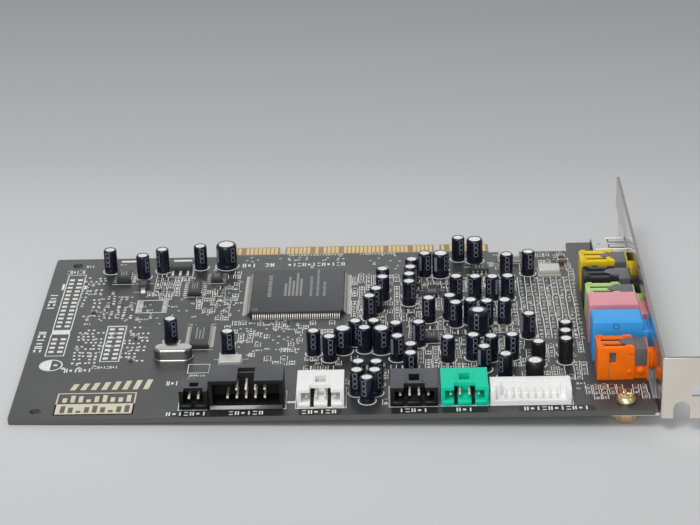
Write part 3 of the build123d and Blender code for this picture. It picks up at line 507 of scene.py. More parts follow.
for kind, metal in (("digital", pin_tin), ("box", pin_tin), ("audio", pin_tin), ("wafer", wafer_tin)):
    eased(kind + "_header_pins", kind + "_header_posts", 0.12, metal)


def front_lip(stock, x0, x1, out, low, high):
    """Sloped guide edge along the foot of a header mouth."""
    profile = [(FRONT + 0.03, low), (FRONT - out, low), (FRONT - out, high - out), (FRONT + 0.03, high)]
    stock.loft([[(x, y, FACE + z) for y, z in profile] for x in (x0, x1)])


# Painted shade: dark plates down the two slots of each audio header mouth, along the slot floor and up its back
# wall, where the slots lie in shade.
channel_shades = Stock()
channel_shade_steps = (
    (0.02, 2.58, 0.3, 0.34), (2.54, 2.58, 0.32, 1.6), (2.55, 7.55, 1.6, 1.64), (7.52, 7.58, 1.62, 4.68),
)
for x, (node, plastic, slot) in zip(AUDIO_X, header_makers[2:5]):
    label = node.rpartition("_")[2]
    ribs, lips = Stock(), Stock()
    for x0, x1, y0, y1 in ((-2.4, -1.9, -99.6, -94.4), (1.9, 2.4, -99.6, -94.4), (-1.45, 1.45, -95.4, -94.6)):
        ribs.block(x + x0, x + x1, y0, y1, AUDIO_ROOF - 0.05, AUDIO_ROOF + 0.22, inset=0.08)
    ribs.make("audio_header_ribs_" + label, plastic, slot, ease=0.05)
    for a, b in ((-5.9, -3.0), (-1.75, 1.75), (3.0, 5.9)):
        front_lip(lips, x + a, x + b, 0.3, 0.45, 1.58)
    lips.make("audio_header_lips_" + label, plastic, slot, ease=0.05)
    for mid in (x - 2.35, x + 2.35):
        for y0, y1, z0, z1 in channel_shade_steps:
            channel_shades.block(mid - 0.5, mid + 0.5, FRONT + y0, FRONT + y1, FACE + z0, FACE + z1)
channel_shades.make("audio_header_channel_shades", hole_shade, "black_plastic", smooth=0)
box_lip, small_lips, dashes = Stock(), Stock(), Stock()
front_lip(box_lip, -39.6, -19.8, 0.75, 0.15, 1.2)
box_lip.make("box_header_lip", polished_black, "black_plastic", ease=0.06)
for x0, x1 in ((-47.4, -44.6), (-43.4, -40.6)):
    front_lip(small_lips, x0, x1, 0.3, 0.4, 1.55)
small_lips.make("digital_header_lips", header_black, "black_plastic", ease=0.05)
WAFER_X, WAFER_STEP = 47.3, 2.0
for i in range(8):
    x = WAFER_X + WAFER_STEP * (i - 3.5)
    dashes.block(x - 0.32, x + 0.32, -97.8, -95.9, FACE + 4.55, FACE + 4.72, inset=0.06)
for x in (38.0, 56.6):
    dashes.block(x - 0.5, x + 0.5, -99.2, -98.9, FACE + 4.55, FACE + 4.7)
dashes.make("wafer_header_ribs", nylon_white, "white_plastic", ease=0.04)

# Signal processor: square flat epoxy package with forty bent leads on each side.
# Its top carries a moulded dot at lead one and a few plain etched bars.
DSP_X, DSP_Y, DSP_HALF, DSP_CORNER = -18.2, -34.5, 14.0, 0.9
DSP_LOW, DSP_TOP = FACE + 0.12, FACE + 1.62
epoxy = finish("chip_epoxy", (0.031, 0.031, 0.035), (0.040, 0.040, 0.044), 0.46, 0.1, grain=5200, patch=120,
               relief=0.3)
etch = finish("etched_mark", (0.21, 0.21, 0.21), (0.26, 0.26, 0.255), 0.5, 0.1)
dull_lead = finish("dull_lead", (0.50, 0.47, 0.43), (0.61, 0.58, 0.535), 0.42, 0.14, grain=1500, patch=420,
                   relief=0.2, metal=0.55)
outline = []
for sx, sy in ((1, 1), (-1, 1), (-1, -1), (1, -1)):
    a = (DSP_X + sx * DSP_HALF, DSP_Y + sy * (DSP_HALF - DSP_CORNER))
    b = (DSP_X + sx * (DSP_HALF - DSP_CORNER), DSP_Y + sy * DSP_HALF)
    outline += [a, b] if sx * sy > 0 else [b, a]
dsp = Stock()
for end in (DSP_TOP, DSP_LOW):
    dsp.plate(outline, (DSP_LOW + DSP_TOP) / 2, end, inset=0.22)
dsp.make("signal_processor_case", epoxy, "chip_epoxy", ("signal_processor_body",), ease=0.06)


def bent_lead(stock, place, reach, shoulder, width):
    """Gull-wing lead: out of the case, down, and a flat foot on its pad."""
    thick, foot = 0.13, FACE + 0.02
    side = [
        (-0.1, shoulder + thick), (0.28, shoulder + thick), (0.42, shoulder + thick * 0.4),
        (reach - 0.62, foot + thick * 1.2), (reach - 0.5, foot + thick), (reach, foot + thick),
        (reach, foot), (reach - 0.58, foot), (reach - 0.74, foot + thick * 0.5),
        (0.3, shoulder - thick * 0.3), (0.22, shoulder), (-0.1, shoulder),
    ]
    stock.loft([[(s, y, z) for s, z in side] for y in (-width / 2, width / 2)], place)


dsp_leads, pads, marks = Stock(), Stock(), Stock()
for quarter in range(4):
    for i in range(40):
        place = at(DSP_X, DSP_Y, turn=90 * quarter) @ at(DSP_HALF - 0.02, (i - 19.5) * 0.65)
        bent_lead(dsp_leads, place, 1.5, FACE + 0.8, 0.28)
        pads.block(0.7, 2.0, -0.18, 0.18, FACE, FACE + 0.03, place)
dsp_leads.make("signal_processor_gull_leads", dull_lead, "lead_tin", ("signal_processor_leads",))
for x, stop, wide in ((-26.6, -25.0, 1.1), (-14.2, -26.0, 0.8), (-12.2, -21.0, 0.8), (-10.2, -29.5, 0.8)):
    y, step = -38.6, 0
    while y < stop:
        marks.block(x - wide / 2, x + wide / 2, y, y + 0.85, DSP_TOP - 0.02, DSP_TOP + 0.012)
        y += 1.15 + 0.25 * (step % 3 == 2)
        step += 1
for k, reach in enumerate((5.2, 8.0, 6.4, 9.6, 7.2)):
    x = -22.2 + 1.15 * k
    marks.block(x, x + 0.7, -38.2, -38.2 + reach * 1.6, DSP_TOP - 0.02, DSP_TOP + 0.012)
marks.arc(DSP_X - 12.2, DSP_Y - 12.2, 0.55, 0.75, DSP_TOP - 0.02, DSP_TOP + 0.015, steps=24)
marks.make("signal_processor_marks", etch, "chip_epoxy", smooth=0)

# Small chips: moulded epoxy cases with bent leads along two sides, soldered to pads.
# The regulator has a wide tab, and the diode and switch chip have broad end leads.


def solids_of(node):
    """Lowest and highest corner, in millimetres, of each separate solid in a node."""
    shaped = solid_mesh(node)
    met, boxes = set(), []
    for first in shaped.verts:
        if first in met:
            continue
        met.add(first)
        group = [first]
        for v in group:
            for e in v.link_edges:
                other = e.other_vert(v)
                if other not in met:
                    met.add(other)
                    group.append(other)
        low = Vector(min(v.co[k] for v in group) for k in range(3)) / MM
        high = Vector(max(v.co[k] for v in group) for k in range(3)) / MM
        boxes.append((low, high))
    shaped.free()
    return boxes


lead_tin = finish("lead_tin", (0.58, 0.58, 0.57), (0.70, 0.69, 0.66), 0.28, 0.16, grain=1500, patch=420,
                  relief=0.2, metal=1.0)
pale_tin = finish("pale_tin", (0.66, 0.66, 0.63), (0.76, 0.76, 0.73), 0.4, 0.1, metal=0.25)
small_leads, chip_cases, chip_marks = Stock(), Stock(), Stock()
small_chips = (
    ("interface_chip_body", 20, 0.65, 0.24, "x"), ("memory_chip_body", 7, 1.27, 0.4, "x"),
    ("amplifier_chip_bodies", 4, 1.27, 0.4, "long side"), ("switch_chip_body", 4, 1.27, 0.5, "x"),
    ("diode_body", 1, 1.0, 1.4, "y"),
)
for node, count, pitch, width, way in small_chips:
    for low, high in solids_of(node):
        cx, cy = (low.x + high.x) / 2, (low.y + high.y) / 2
        lx, ly = (high.x - low.x) / 2, (high.y - low.y) / 2
        for end in (high.z, low.z + 0.08):
            chip_cases.block(low.x, high.x, low.y, high.y, (low.z + high.z) / 2, end, inset=0.14)
        leads_on_x = way == "x" or (way == "long side" and ly >= lx)
        for turn in (0, 180) if leads_on_x else (90, 270):
            for i in range(count):
                along = (i - (count - 1) / 2) * pitch
                place = at(cx, cy, turn=turn) @ at((lx if leads_on_x else ly) - 0.02, along)
                bent_lead(small_leads, place, 1.05, FACE + 0.55 * (high.z - FACE), width)
                pads.block(0.35, 1.5, -width * 0.65, width * 0.65, FACE, FACE + 0.03, place)
        for k in range(3):
            x = cx + lx * (0.36 * k - 0.45)
            y1 = cy + ly * (0.5 - 0.2 * (k % 2))
            chip_marks.block(x, x + lx * 0.15, cy - ly * 0.5, y1, high.z - 0.02, high.z + 0.012)
        chip_marks.arc(cx - lx * 0.62, cy + ly * 0.72, 0.12, 0.3, high.z - 0.02, high.z + 0.012, steps=16)
chip_cases.make("small_chip_cases", epoxy, "chip_epoxy", [chip[0] for chip in small_chips], ease=0.05)
chip_marks.make("small_chip_marks", etch, "chip_epoxy", smooth=0)
small_leads.make("small_chip_leads", lead_tin, "lead_tin")
eased("regulator_body", "regulator_case", 0.12, epoxy)
eased("regulator_metal", "regulator_tab_and_leads", 0.06, pale_tin)

# Quartz parts: one drawn can with rolled flange on the board, and three flat resonators.
# The can is nickel steel; each resonator has a pale base and a bright lid.
CRYSTAL_X, CRYSTAL_Y, CRYSTAL_REACH = -52.2, -72.6, 3.175
nickel = finish("drawn_nickel", (0.32, 0.315, 0.30), (0.42, 0.41, 0.39), 0.17, grain=900, patch=140, relief=0.08,
                metal=1.0)
levels = (
    (2.675, 0.0), (2.675, 0.25), (2.55, 0.42), (2.36, 0.5), (2.325, 0.7), (2.325, 2.9), (2.25, 3.2),
    (2.05, 3.42), (1.75, 3.5),
)
loops = []
for radius, z in levels:
    loop = []
    for end, start in ((CRYSTAL_X + CRYSTAL_REACH, -90), (CRYSTAL_X - CRYSTAL_REACH, 90)):
        for k in range(15):
            turn = math.radians(start + 180 * k / 14)
            loop.append((end + radius * math.cos(turn), CRYSTAL_Y + radius * math.sin(turn), FACE + z))
    loops.append(loop)
quartz = Stock()
quartz.loft(loops)
quartz.make("crystal_can_drawn", nickel, "can_steel", ("crystal_can",), smooth=0.7)
ceramic = finish("resonator_ceramic", (0.44, 0.43, 0.39), (0.52, 0.51, 0.47), 0.5, 0.1)
lid_bright = finish("resonator_lid", (0.52, 0.52, 0.48), (0.60, 0.60, 0.56), 0.45, metal=0.25)
eased("resonator_bases", "resonator_feet", 0.08, ceramic)
eased("resonator_lids", "resonator_caps", 0.35, lid_bright)

# Standing capacitors: aluminium cans in shrunk sleeves, crimped near the foot, bare scored tops.
# Pale ovals and a stripe are printed on the coloured sleeves, and each can stands in a printed ring.
sleeve = finish("sleeve_navy", (0.0045, 0.0055, 0.014), (0.009, 0.011, 0.024), 0.17, 0.1, grain=900, patch=220,
                relief=0.05, shine=0.3, coat=0.2)
sleeve_plain = finish("sleeve_black", (0.007, 0.007, 0.008), (0.013, 0.013, 0.014), 0.26, 0.1, grain=900,
                      patch=220, relief=0.06, shine=0.35, coat=0.1)
can_top = finish("can_aluminium", (0.66, 0.66, 0.66), (0.78, 0.78, 0.77), 0.34, 0.16, grain=1200, patch=300,
                 relief=0.1, metal=0.85)
score_dark = finish("score_line", (0.26, 0.26, 0.26), (0.32, 0.32, 0.32), 0.5, 0.1, metal=0.6)
sleeve_ink = finish("sleeve_ink", (0.17, 0.185, 0.23), (0.25, 0.265, 0.31), 0.34, 0.1)
rubber = finish("lead_bung", (0.02, 0.02, 0.02), (0.03, 0.03, 0.03), 0.7, 0.1)
can_groups = (
    ("capacitors_4mm", "capacitor_sleeves_4mm", sleeve, "sleeve_navy", True),
    ("capacitors_5mm", "capacitor_sleeves_5mm", sleeve, "sleeve_navy", True),
    ("capacitors_6mm", "capacitor_sleeves_6mm", sleeve, "sleeve_navy", True),
    ("capacitors_plain", "capacitor_sleeves_plain", sleeve_plain, "sleeve_black", False),
    ("capacitor_short", "capacitor_sleeve_short", sleeve_plain, "sleeve_black", False),
)


def oval(stock, radius, turn, z, place):
    """Printed rounded outline on the side of a can."""
    half_wide, half_tall, line, steps = 0.7, 0.72, 0.18, 16
    loops = []
    for i in range(steps):
        c, s = math.cos(2 * math.pi * i / steps), math.sin(2 * math.pi * i / steps)
        across, along = math.copysign(abs(c) ** 0.4, c), math.copysign(abs(s) ** 0.4, s)
        loop = []
        for inside, lift in ((0.0, -0.02), (0.0, 0.014), (line, 0.014), (line, -0.02)):
            r = radius + lift
            bearing = math.radians(turn) + (half_wide - inside) * across / radius
            loop.append((r * math.cos(bearing), r * math.sin(bearing), z + (half_tall - inside) * along))
        loops.append(loop)
    stock.loft(loops, place, closed=True)


tops, scores, ink, bungs, rings = Stock(), Stock(), Stock(), Stock(), Stock()
cans, can_feet = [], []
for node, name, jacket, slot, marked in can_groups:
    jackets = Stock()
    for low, high in solids_of(node):
        x, y = (low.x + high.x) / 2, (low.y + high.y) / 2
        radius = max(high.x - low.x, high.y - low.y) / 2
        tall = high.z - FACE
        place = at(x, y, FACE)
        cans.append((x, y, radius))
        can_feet += [(x - radius * 0.42, y), (x + radius * 0.42, y)]
        bend = (0.44 if radius > 3 and x > 0 else 0.27) * radius
        crimp = ((0.9, 0.18), (0.985, 0.3), (0.99, 1.0), (0.94, 1.22), (0.935, 1.42), (0.985, 1.7), (1.0, 1.95))
        profile = [(radius * share, z) for share, z in crimp]
        for k in range(6):
            turn = math.radians(18 * k)
            profile.append((radius - bend + bend * math.cos(turn), tall - bend + bend * math.sin(turn)))
        profile += [(radius - bend * 1.06, tall - 0.02), (radius - bend * 1.1, tall - 0.4)]
        jackets.turned(profile, 40, place)
        face = radius - bend * 1.08
        lid = [(face, tall - 0.42), (face, tall - 0.13), (face * 0.9, tall - 0.09), (face * 0.1, tall - 0.07)]
        tops.turned(lid, 32, place)
        for k in (0, 90):
            groove = at(x, y, FACE, k + rng.uniform(20, 70))
            scores.block(-face * 0.75, face * 0.75, -0.04, 0.04, tall - 0.1, tall - 0.072, groove)
        bungs.turned([(radius * 0.88, 0.0), (radius * 0.88, 0.3)], 24, place)
        start, stop = rng.uniform(-205, -190), rng.uniform(10, 25)
        rings.arc(x, y, radius + 0.25, radius + 0.6, FACE, FACE + 0.03, start, stop, 30)
        if marked:
            print_at = rng.uniform(-135, -45)
            for z in (3.1, 4.7, 6.3):
                oval(ink, radius, print_at, z, place)
            stripe = print_at + rng.choice((-1, 1)) * rng.uniform(70, 130)
            half = math.degrees(0.5 / radius)
            upper = tall - bend - 0.1
            ink.arc(0, 0, radius - 0.03, radius + 0.012, 2.1, upper, stripe - half, stripe + half, 4, place)
    jackets.make(name, jacket, slot, (node,), smooth=0.8)
tops.make("capacitor_tops", can_top, "can_steel")
scores.make("capacitor_top_scores", score_dark, "can_steel", smooth=0)
ink.make("capacitor_sleeve_print", sleeve_ink, "sleeve_navy")
bungs.make("capacitor_bungs", rubber, "black_plastic")

# Surface parts: chip resistors and ceramic capacitors with tinned ends, soldered on pads.
# They fill the board between the larger parts, in ladders beside the jacks; some places are left bare.
PRINT = FACE + 0.03
resistor_black = finish("resistor_glaze", (0.016, 0.016, 0.017), (0.028, 0.028, 0.028), 0.3, 0.1)
ceramic_tan = finish("capacitor_ceramic", (0.13, 0.095, 0.062), (0.20, 0.155, 0.11), 0.45, 0.1)
solder = finish("solder", (0.42, 0.42, 0.41), (0.58, 0.57, 0.55), 0.26, 0.2, grain=1400, patch=600, relief=0.25,
                metal=1.0)
chip_black, chip_tan, chip_ends, fillets = Stock(), Stock(), Stock(), Stock()
outlines, bare_pads = Stock(), Stock()
framed_chips = [chip[0] for chip in small_chips] + ["resonator_bases"]
taken = [(65.2, 81.4, -91.0, -11.0), (69.0, 77.0, -105.0, -98.2), (-59.8, -50.2, -21.6, -11.0)]
for node in ("signal_processor_body", "regulator_body", "crystal_can", *framed_chips):
    for low, high in solids_of(node):
        taken.append((low.x - 1.9, high.x + 1.9, low.y - 1.9, high.y + 1.9))
for node, _, _ in header_makers:
    low, high = (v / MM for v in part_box(node))
    taken.append((low.x - 0.6, high.x + 0.6, low.y - 4, high.y + 1.2))


def clear_of(x, y, reach):
    """Whether a spot on the board is free of cans, chips, headers and jacks."""
    if any(math.hypot(x - cx, y - cy) < radius + reach for cx, cy, radius in cans):
        return False
    return not any(x0 < x < x1 and y0 < y < y1 for x0, x1, y0, y1 in taken)


def chip_part(x, y, turn, tan, long, wide, tall):
    """One chip resistor or capacitor with its ends and a thin skirt of solder at each."""
    place = at(x, y, FACE, turn)
    tip, edge = long / 2, wide / 2
    body = chip_tan if tan else chip_black
    body.block(0.26 - tip, tip - 0.26, 0.02 - edge, edge - 0.02, 0.04, tall - 0.02, place, inset=0.03)
    for side in (-1, 1):
        a, b = sorted((side * (tip - 0.28), side * tip))
        chip_ends.block(a, b, -edge, edge, 0.02, tall, place, inset=0.05)
        c, d = sorted((side * (tip - 0.05), side * (tip + 0.3)))
        heel = [(c, -edge - 0.03), (d, -edge), (d, edge), (c, edge + 0.03)]
        slope = [(px, py, tall * 0.3 if abs(px) < tip + 0.1 else 0.05) for px, py in heel]
        fillets.loft([[(px, py, 0.0) for px, py in heel], slope], place)


def printed_sides(x, y, turn, long, wide):
    """Printed side lines of a small part."""
    along, beside = long / 2 + 0.5, wide / 2 + 0.36
    for off in (-beside, beside):
        if turn == 0:
            outlines.ribbon([(x - along, y + off), (x + along, y + off)], 0.21, FACE, PRINT)
        else:
            outlines.ribbon([(x + off, y - along), (x + off, y + along)], 0.21, FACE, PRINT)


LADDER_X, LADDER_STEP = 49.0, 1.95
part_fields = (
    (LADDER_X, 65.0, -64.0, -25.6, LADDER_STEP, 2.3, 0.92, 90, 0.1),
    (46.6, 64.6, -88.0, -66.0, 2.1, 2.6, 0.7, 90, 0.3), (18.0, 48.0, -33.0, -25.0, 1.9, 2.5, 0.92, 90, 0.25),
    (18.0, 47.0, -60.0, -40.0, 2.0, 2.5, 0.92, 90, 0.3), (18.0, 46.0, -80.0, -62.0, 2.1, 2.6, 0.85, 90, 0.35),
    (1.0, 18.0, -62.0, -22.0, 2.1, 2.6, 0.75, 90, 0.4), (-14.0, 14.0, -100.0, -74.0, 2.2, 2.8, 0.45, 90, 0.5),
    (-3.0, 2.0, -48.0, -22.0, 1.8, 2.6, 0.75, 90, 0.5), (-17.0, 0.0, -58.0, -50.5, 1.9, 2.6, 0.38, 90, 0.5),
    (63.5, 79.5, -99.0, -92.2, 2.15, 2.6, 0.9, 90, 0.0), (36.0, 48.0, -24.0, -13.0, 2.2, 2.8, 0.45, 90, 0.4),
    (50.0, 64.5, -19.5, -9.5, 2.0, 2.4, 0.42, 90, 0.1), (62.5, 65.0, -26.0, -19.0, 2.0, 2.4, 0.6, 90, 0.0),
    (-63.0, -51.0, -35.0, -19.5, 2.0, 2.5, 0.7, 90, 0.6), (-47.5, -35.0, -49.0, -18.5, 2.1, 2.5, 0.5, 90, 0.55),
    (-75.0, -67.0, -47.0, -33.0, 1.9, 2.5, 0.6, 90, 0.75), (-83.0, -77.0, -46.0, -20.0, 2.3, 2.1, 0.6, 0, 0.9),
    (-80.0, -74.6, -75.0, -54.0, 2.4, 2.0, 0.75, 0, 0.95), (-66.6, -60.5, -74.0, -54.0, 2.4, 2.0, 0.6, 0, 0.95),
    (-31.0, -16.0, -66.0, -53.0, 2.4, 2.6, 0.2, 90, 0.6), (-38.0, -33.0, -73.0, -50.0, 2.2, 2.6, 0.5, 90, 0.5),
    (-30.0, -17.0, -77.0, -67.0, 2.3, 2.6, 0.28, 90, 0.6),
)
large_parts = ((62.6, -15.0, 0, 3.2, 1.6, 1.0), (62.4, -11.6, 0, 2.0, 1.2, 0.8), (60.2, -12.4, 90, 2.0, 1.2, 0.8))
for x, y, turn, long, wide, tall in large_parts:
    chip_part(x, y, turn, True, long, wide, tall)
    taken.append((x - 2.6, x + 2.6, y - 1.7, y + 1.7))
for x0, x1, y0, y1, dx, dy, share, turn, bare_share in part_fields:
    ladder, mostly_bare = x0 == LADDER_X, bare_share > 0.7
    wander, tan_share = 0.38 if mostly_bare else 0.12, 0.14 if ladder else 0.42
    for c in range(int((x1 - x0) / dx) + 1):
        for r in range(int((y1 - y0) / dy) + 1):
            x = x0 + c * dx + rng.uniform(-wander, wander)
            y = y0 + r * dy + rng.uniform(-wander, wander)
            chosen, bare_one = rng.random() < share, rng.random() < bare_share
            tan, large = rng.random() < tan_share, rng.random() < 0.25
            if not chosen or not clear_of(x, y, 1.15):
                continue
            long, wide = (2.0, 1.15) if large else (1.6, 0.8)
            taken.append((x - 0.85, x + 0.85, y - 1.0, y + 1.0))
            if bare_one:
                for side in (-0.75, 0.75):
                    bare_pads.block(side - 0.34, side + 0.34, -0.4, 0.4, 0.0, 0.03, at(x, y, FACE, turn))
            else:
                chip_part(x, y, turn, tan, long, wide, 0.66 if tan else 0.48)
            if not mostly_bare and not ladder:
                printed_sides(x, y, turn, long, wide)
for c in range(9):
    x = LADDER_X + LADDER_STEP * (c - 0.5)
    run = []
    for k in range(80):
        y = -64.6 + 0.5 * k
        free = all(math.hypot(x - cx, y - cy) > radius + 0.7 for cx, cy, radius in cans)
        if free:
            run.append((x + (0.2 if (k // 27 + c) % 2 else 0.0), y))
        if run and (not free or k == 79):
            if len(run) > 3:
                outlines.ribbon(run, 0.25, FACE, PRINT)
            run = []
chip_black.make("chip_resistors", resistor_black, "chip_epoxy", ease=0.04)
chip_tan.make("chip_capacitors", ceramic_tan, "base_ceramic", ease=0.05)
chip_ends.make("chip_part_ends", tin, "lead_tin", ease=0.04)
fillets.make("chip_part_solder", solder, "lead_tin", smooth=0.9)

# Board print: white outlines, bars and short plain strokes screened on the mask.
# Bare header places show tinned pads; the panel by the near corner is cream with level bars.
print_white = finish("board_print", (0.66, 0.67, 0.66), (0.80, 0.81, 0.80), 0.55, 0.1, grain=2600, patch=400,
                     relief=0.2)


def printed_frame(stock, x0, x1, y0, y1, width):
    """Printed outline of a box, as four lines."""
    half = width / 2
    for y in (y0, y1):
        stock.ribbon([(x0 - half, y), (x1 + half, y)], width, FACE, PRINT)
    for x in (x0, x1):
        stock.ribbon([(x, y0 + half), (x, y1 - half)], width, FACE, PRINT)


for x0, x1, y0, y1, line in (
    (-89.2, -83.9, -54.8, -18.4, 0.3), (-89.2, -83.9, -70.6, -57.3, 0.3), (-73.1, -67.7, -74.4, -52.6, 0.32),
    (-66.0, -57.0, -44.5, -36.5, 0.3), (-47.5, -41.5, -82.0, -77.0, 0.24), (-59.0, -51.0, -20.8, -12.6, 0.24),
):
    printed_frame(outlines, x0, x1, y0, y1, line)
for x0, x1, y0, y1 in (
    (-89.2, -83.9, -57.2, -54.9), (-83.6, -82.6, -28.2, -24.2), (-90.3, -89.6, -28.5, -24.4),
    (-74.0, -69.5, -10.0, -8.8), (-57.7, -52.0, -10.0, -8.8), (-73.1, -67.7, -53.3, -52.5),
):
    outlines.block(x0, x1, y0, y1, FACE, PRINT)
for columns, first, count, step, half_x, half_y in (
    ((-87.8, -85.3), -21.9, 13, 2.54, 0.75, 0.62), ((-87.8, -85.3), -60.5, 4, 2.54, 0.75, 0.62),
    ((-71.7, -69.1), -54.8, 8, 2.54, 0.75, 0.62), ((-65.1, -57.6), -37.3, 9, 0.8, 0.8, 0.24),
):
    for x in columns:
        for y in (first - step * i for i in range(count)):
            bare_pads.block(x - half_x, x + half_x, y - half_y, y + half_y, FACE, PRINT)
ROUND_X, ROUND_Y = -86.7, -76.2
for x, y in (
    (-87.9, ROUND_Y), (-85.4, ROUND_Y), (-18.3, -99.4), (-17.1, -99.4), (-83.0, -78.2), (-78.5, -78.2),
):
    bare_pads.arc(x, y, 0.15, 0.62, FACE, PRINT + 0.01, steps=18)
bare_pads.make("bare_pads", tin, "lead_tin", smooth=0)
pads.make("chip_pads", tin, "lead_tin", smooth=0)
outlines.arc(ROUND_X, ROUND_Y, 2.95, 3.35, FACE, PRINT, steps=40)
half_round = [math.radians(a) for a in range(90, 271, 9)]
outlines.plate([(ROUND_X + 3.0 * math.cos(a), ROUND_Y + 3.0 * math.sin(a)) for a in half_round], FACE, PRINT)
for node in framed_chips:
    for low, high in solids_of(node):
        for y in (low.y - 0.7, high.y + 0.7):
            outlines.ribbon([(low.x - 1.4, y), (high.x + 1.4, y)], 0.2, FACE, PRINT)
for node, _, _ in header_makers:
    low, high = (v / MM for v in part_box(node))
    printed_frame(outlines, low.x - 0.45, high.x + 0.45, low.y - 0.1, high.y + 0.45, 0.24)


def strokes(stock, x, y, count, tall, pitch, upright=True):
    """A short row of plain bars and dots where a real board is marked."""
    thin = pitch * 0.26
    for k in range(count):
        near, far = k * pitch, k * pitch + pitch * 0.7
        dot = [(near + 0.084 * pitch, far - 0.084 * pitch, 0.26 * tall, 0.74 * tall)]
        across = [(near, near + thin, 0, tall), (far - thin, far, 0, tall)]
        level = [(near, far, 0, thin), (near, far, tall - thin, tall)]
        middle = [((near + far - thin) / 2, (near + far + thin) / 2, 0, tall)]
        if not upright:
            dot = [(near + 0.182 * pitch, far - 0.182 * pitch, 0.12 * tall, 0.88 * tall)]
        for a, b, c, d in (dot, across, level, middle)[(k * 7 + count * 3) % 4]:
            if not upright:
                a, b, c, d = c, d, a, b
            stock.block(x + a, x + b, y + c, y + d, FACE, PRINT + 0.01)


stroke_rows = (
    (-93.0, -41.2, 5, 2.2, 2.1, False), (-93.0, -68.2, 6, 2.2, 2.2, False), (-36.0, -15.0, 3, 2.6, 1.5),
    (-29.0, -14.8, 2, 2.4, 1.6), (-22.0, -14.8, 12, 2.2, 1.5), (-31.0, -59.4, 4, 1.0, 0.9),
    (-23.5, -69.4, 8, 0.9, 0.9), (-22.0, -7.4, 18, 0.9, 0.95), (0.0, -7.4, 12, 0.9, 0.95),
    (-75.0, -78.6, 9, 1.4, 0.85), (-52.8, -89.0, 3, 2.4, 1.2), (-82.5, -80.6, 3, 2.2, 1.4),
    (-90.0, -17.6, 6, 2.4, 0.95), (-84.5, -13.4, 3, 1.6, 0.9), (-78.4, -80.4, 3, 2.0, 1.3),
    (-47.0, -84.0, 6, 0.7, 0.8), (46.0, -91.5, 4, 1.1, 1.0), (60.5, -92.0, 3, 1.0, 0.9),
)
for row in stroke_rows:
    strokes(outlines, *row)
taken.append((-84.0, -53.0, -106.0, -82.0))
for _ in range(190):
    x, y = rng.uniform(-82, 64), rng.uniform(-86, -12)
    if clear_of(x, y, 0.8) and clear_of(x + 1.8, y, 0.8):
        strokes(outlines, round(x, 1), round(y, 1), 3, 1.0, 0.72, rng.random() < 0.6)
outlines.make("board_print_lines", print_white, "white_plastic", smooth=0)
rings.make("board_print_rings", print_white, "white_plastic", smooth=0)

LABEL_PITCH = 1.62
label_black = finish("label_strip", (0.010, 0.010, 0.010), (0.014, 0.014, 0.014), 0.5, 0.1)
strips, strip_marks = Stock(), Stock()
for x0, x1, count in (
    (-51.0, -40.5, 7), (-39.5, -19.5, 6), (-15.5, -4.0, 6), (9.5, 22.0, 5), (23.5, 35.5, 3), (44.0, 64.5, 11),
):
    strips.block(x0, x1, -106.3, -103.5, FACE, FACE + 0.025)
    strokes(strip_marks, (x0 + x1 - count * LABEL_PITCH) / 2, -105.8, count, 1.9, LABEL_PITCH)
strips.make("header_label_strips", label_black, "board_mask", smooth=0)
strip_marks.make("header_label_marks", print_white, "white_plastic", smooth=0)

cream = finish("print_cream", (0.56, 0.51, 0.37), (0.66, 0.61, 0.46), 0.5, 0.1, grain=2200, patch=200, relief=0.15)
panel, panel_bars = Stock(), Stock()
panel.block(-82.3, -60.5, -104.5, -98.6, FACE, PRINT)
printed_frame(panel, -82.1, -60.7, -104.3, -92.7, 0.4)
for k in range(9):
    x = -80.6 + 2.2 * k
    pale_tall, dark_tall = 1.4 + 2.4 * abs(math.sin(0.9 * k + 0.4)), 1.0 + 2.8 * abs(math.cos(0.8 * k))
    panel.block(x, x + 1.2, -97.6, -97.6 + pale_tall, FACE, PRINT)
    panel_bars.block(x, x + 1.3, -103.4, -103.4 + dark_tall, FACE + 0.02, FACE + 0.045)
for k in range(8):
    x, foot, top = -79.4 + 2.9 * k, -90.8, -87.4 + 0.3 * k
    panel.plate([(x, foot), (x + 1.5, foot), (x + 2.4, top), (x + 0.9, top)], FACE, PRINT)
panel.make("cream_panel", cream, "white_plastic", smooth=0)
panel_bars.make("cream_panel_bars", track_mask, "board_mask", smooth=0)

# Solder joints under the board: a cone of solder round each lead that comes through.
# Leads are cropped short, as a wave-soldered card leaves them.
PIN_STEP = 2.54
jack_feet = ((67.4, -2.4), (67.4, 2.4), (71.8, 0.0), (76.2, -2.4), (76.2, 2.4))
feet = can_feet + [(CRYSTAL_X - 2.4, CRYSTAL_Y), (CRYSTAL_X + 2.4, CRYSTAL_Y)]
feet += [(x + PIN_STEP * k, -93.6) for x in AUDIO_X for k in (-1.5, -0.5, 0.5, 1.5)]
feet += [(-44.0 + PIN_STEP * k, -96.6) for k in (-0.5, 0.5)]
feet += [(-29.7 + PIN_STEP * k, y) for k in (-2, -1, 0, 1, 2) for y in (-94.4, -96.9)]
feet += [(WAFER_X + WAFER_STEP * (k - 3.5), -96.0) for k in range(8)]
feet += [(x, y + off) for y in jack_y.values() for x, off in jack_feet]
feet += [(72.3, y) for y in (-22.0, -20.4, -18.8, -17.2, -15.6)]
cone = [(0.95, 0.01), (0.9, -0.08), (0.5, -0.45), (0.34, -0.8), (0.3, -1.15), (0.16, -1.22)]
joints, hole_rings = Stock(), Stock()
for x, y in feet:
    joints.turned(cone, 14, at(x, y, BACK))
joints.make("solder_joints", solder, "lead_tin", smooth=0.9)
for x, y in ((-87.3, -11.9), (-87.3, -102.3)):
    for low in (FACE, BACK - 0.03):
        hole_rings.arc(x, y, 1.62, 1.95, low, low + 0.03, steps=40)
hole_rings.make("tooling_hole_rims", track_mask, "board_mask", smooth=0)

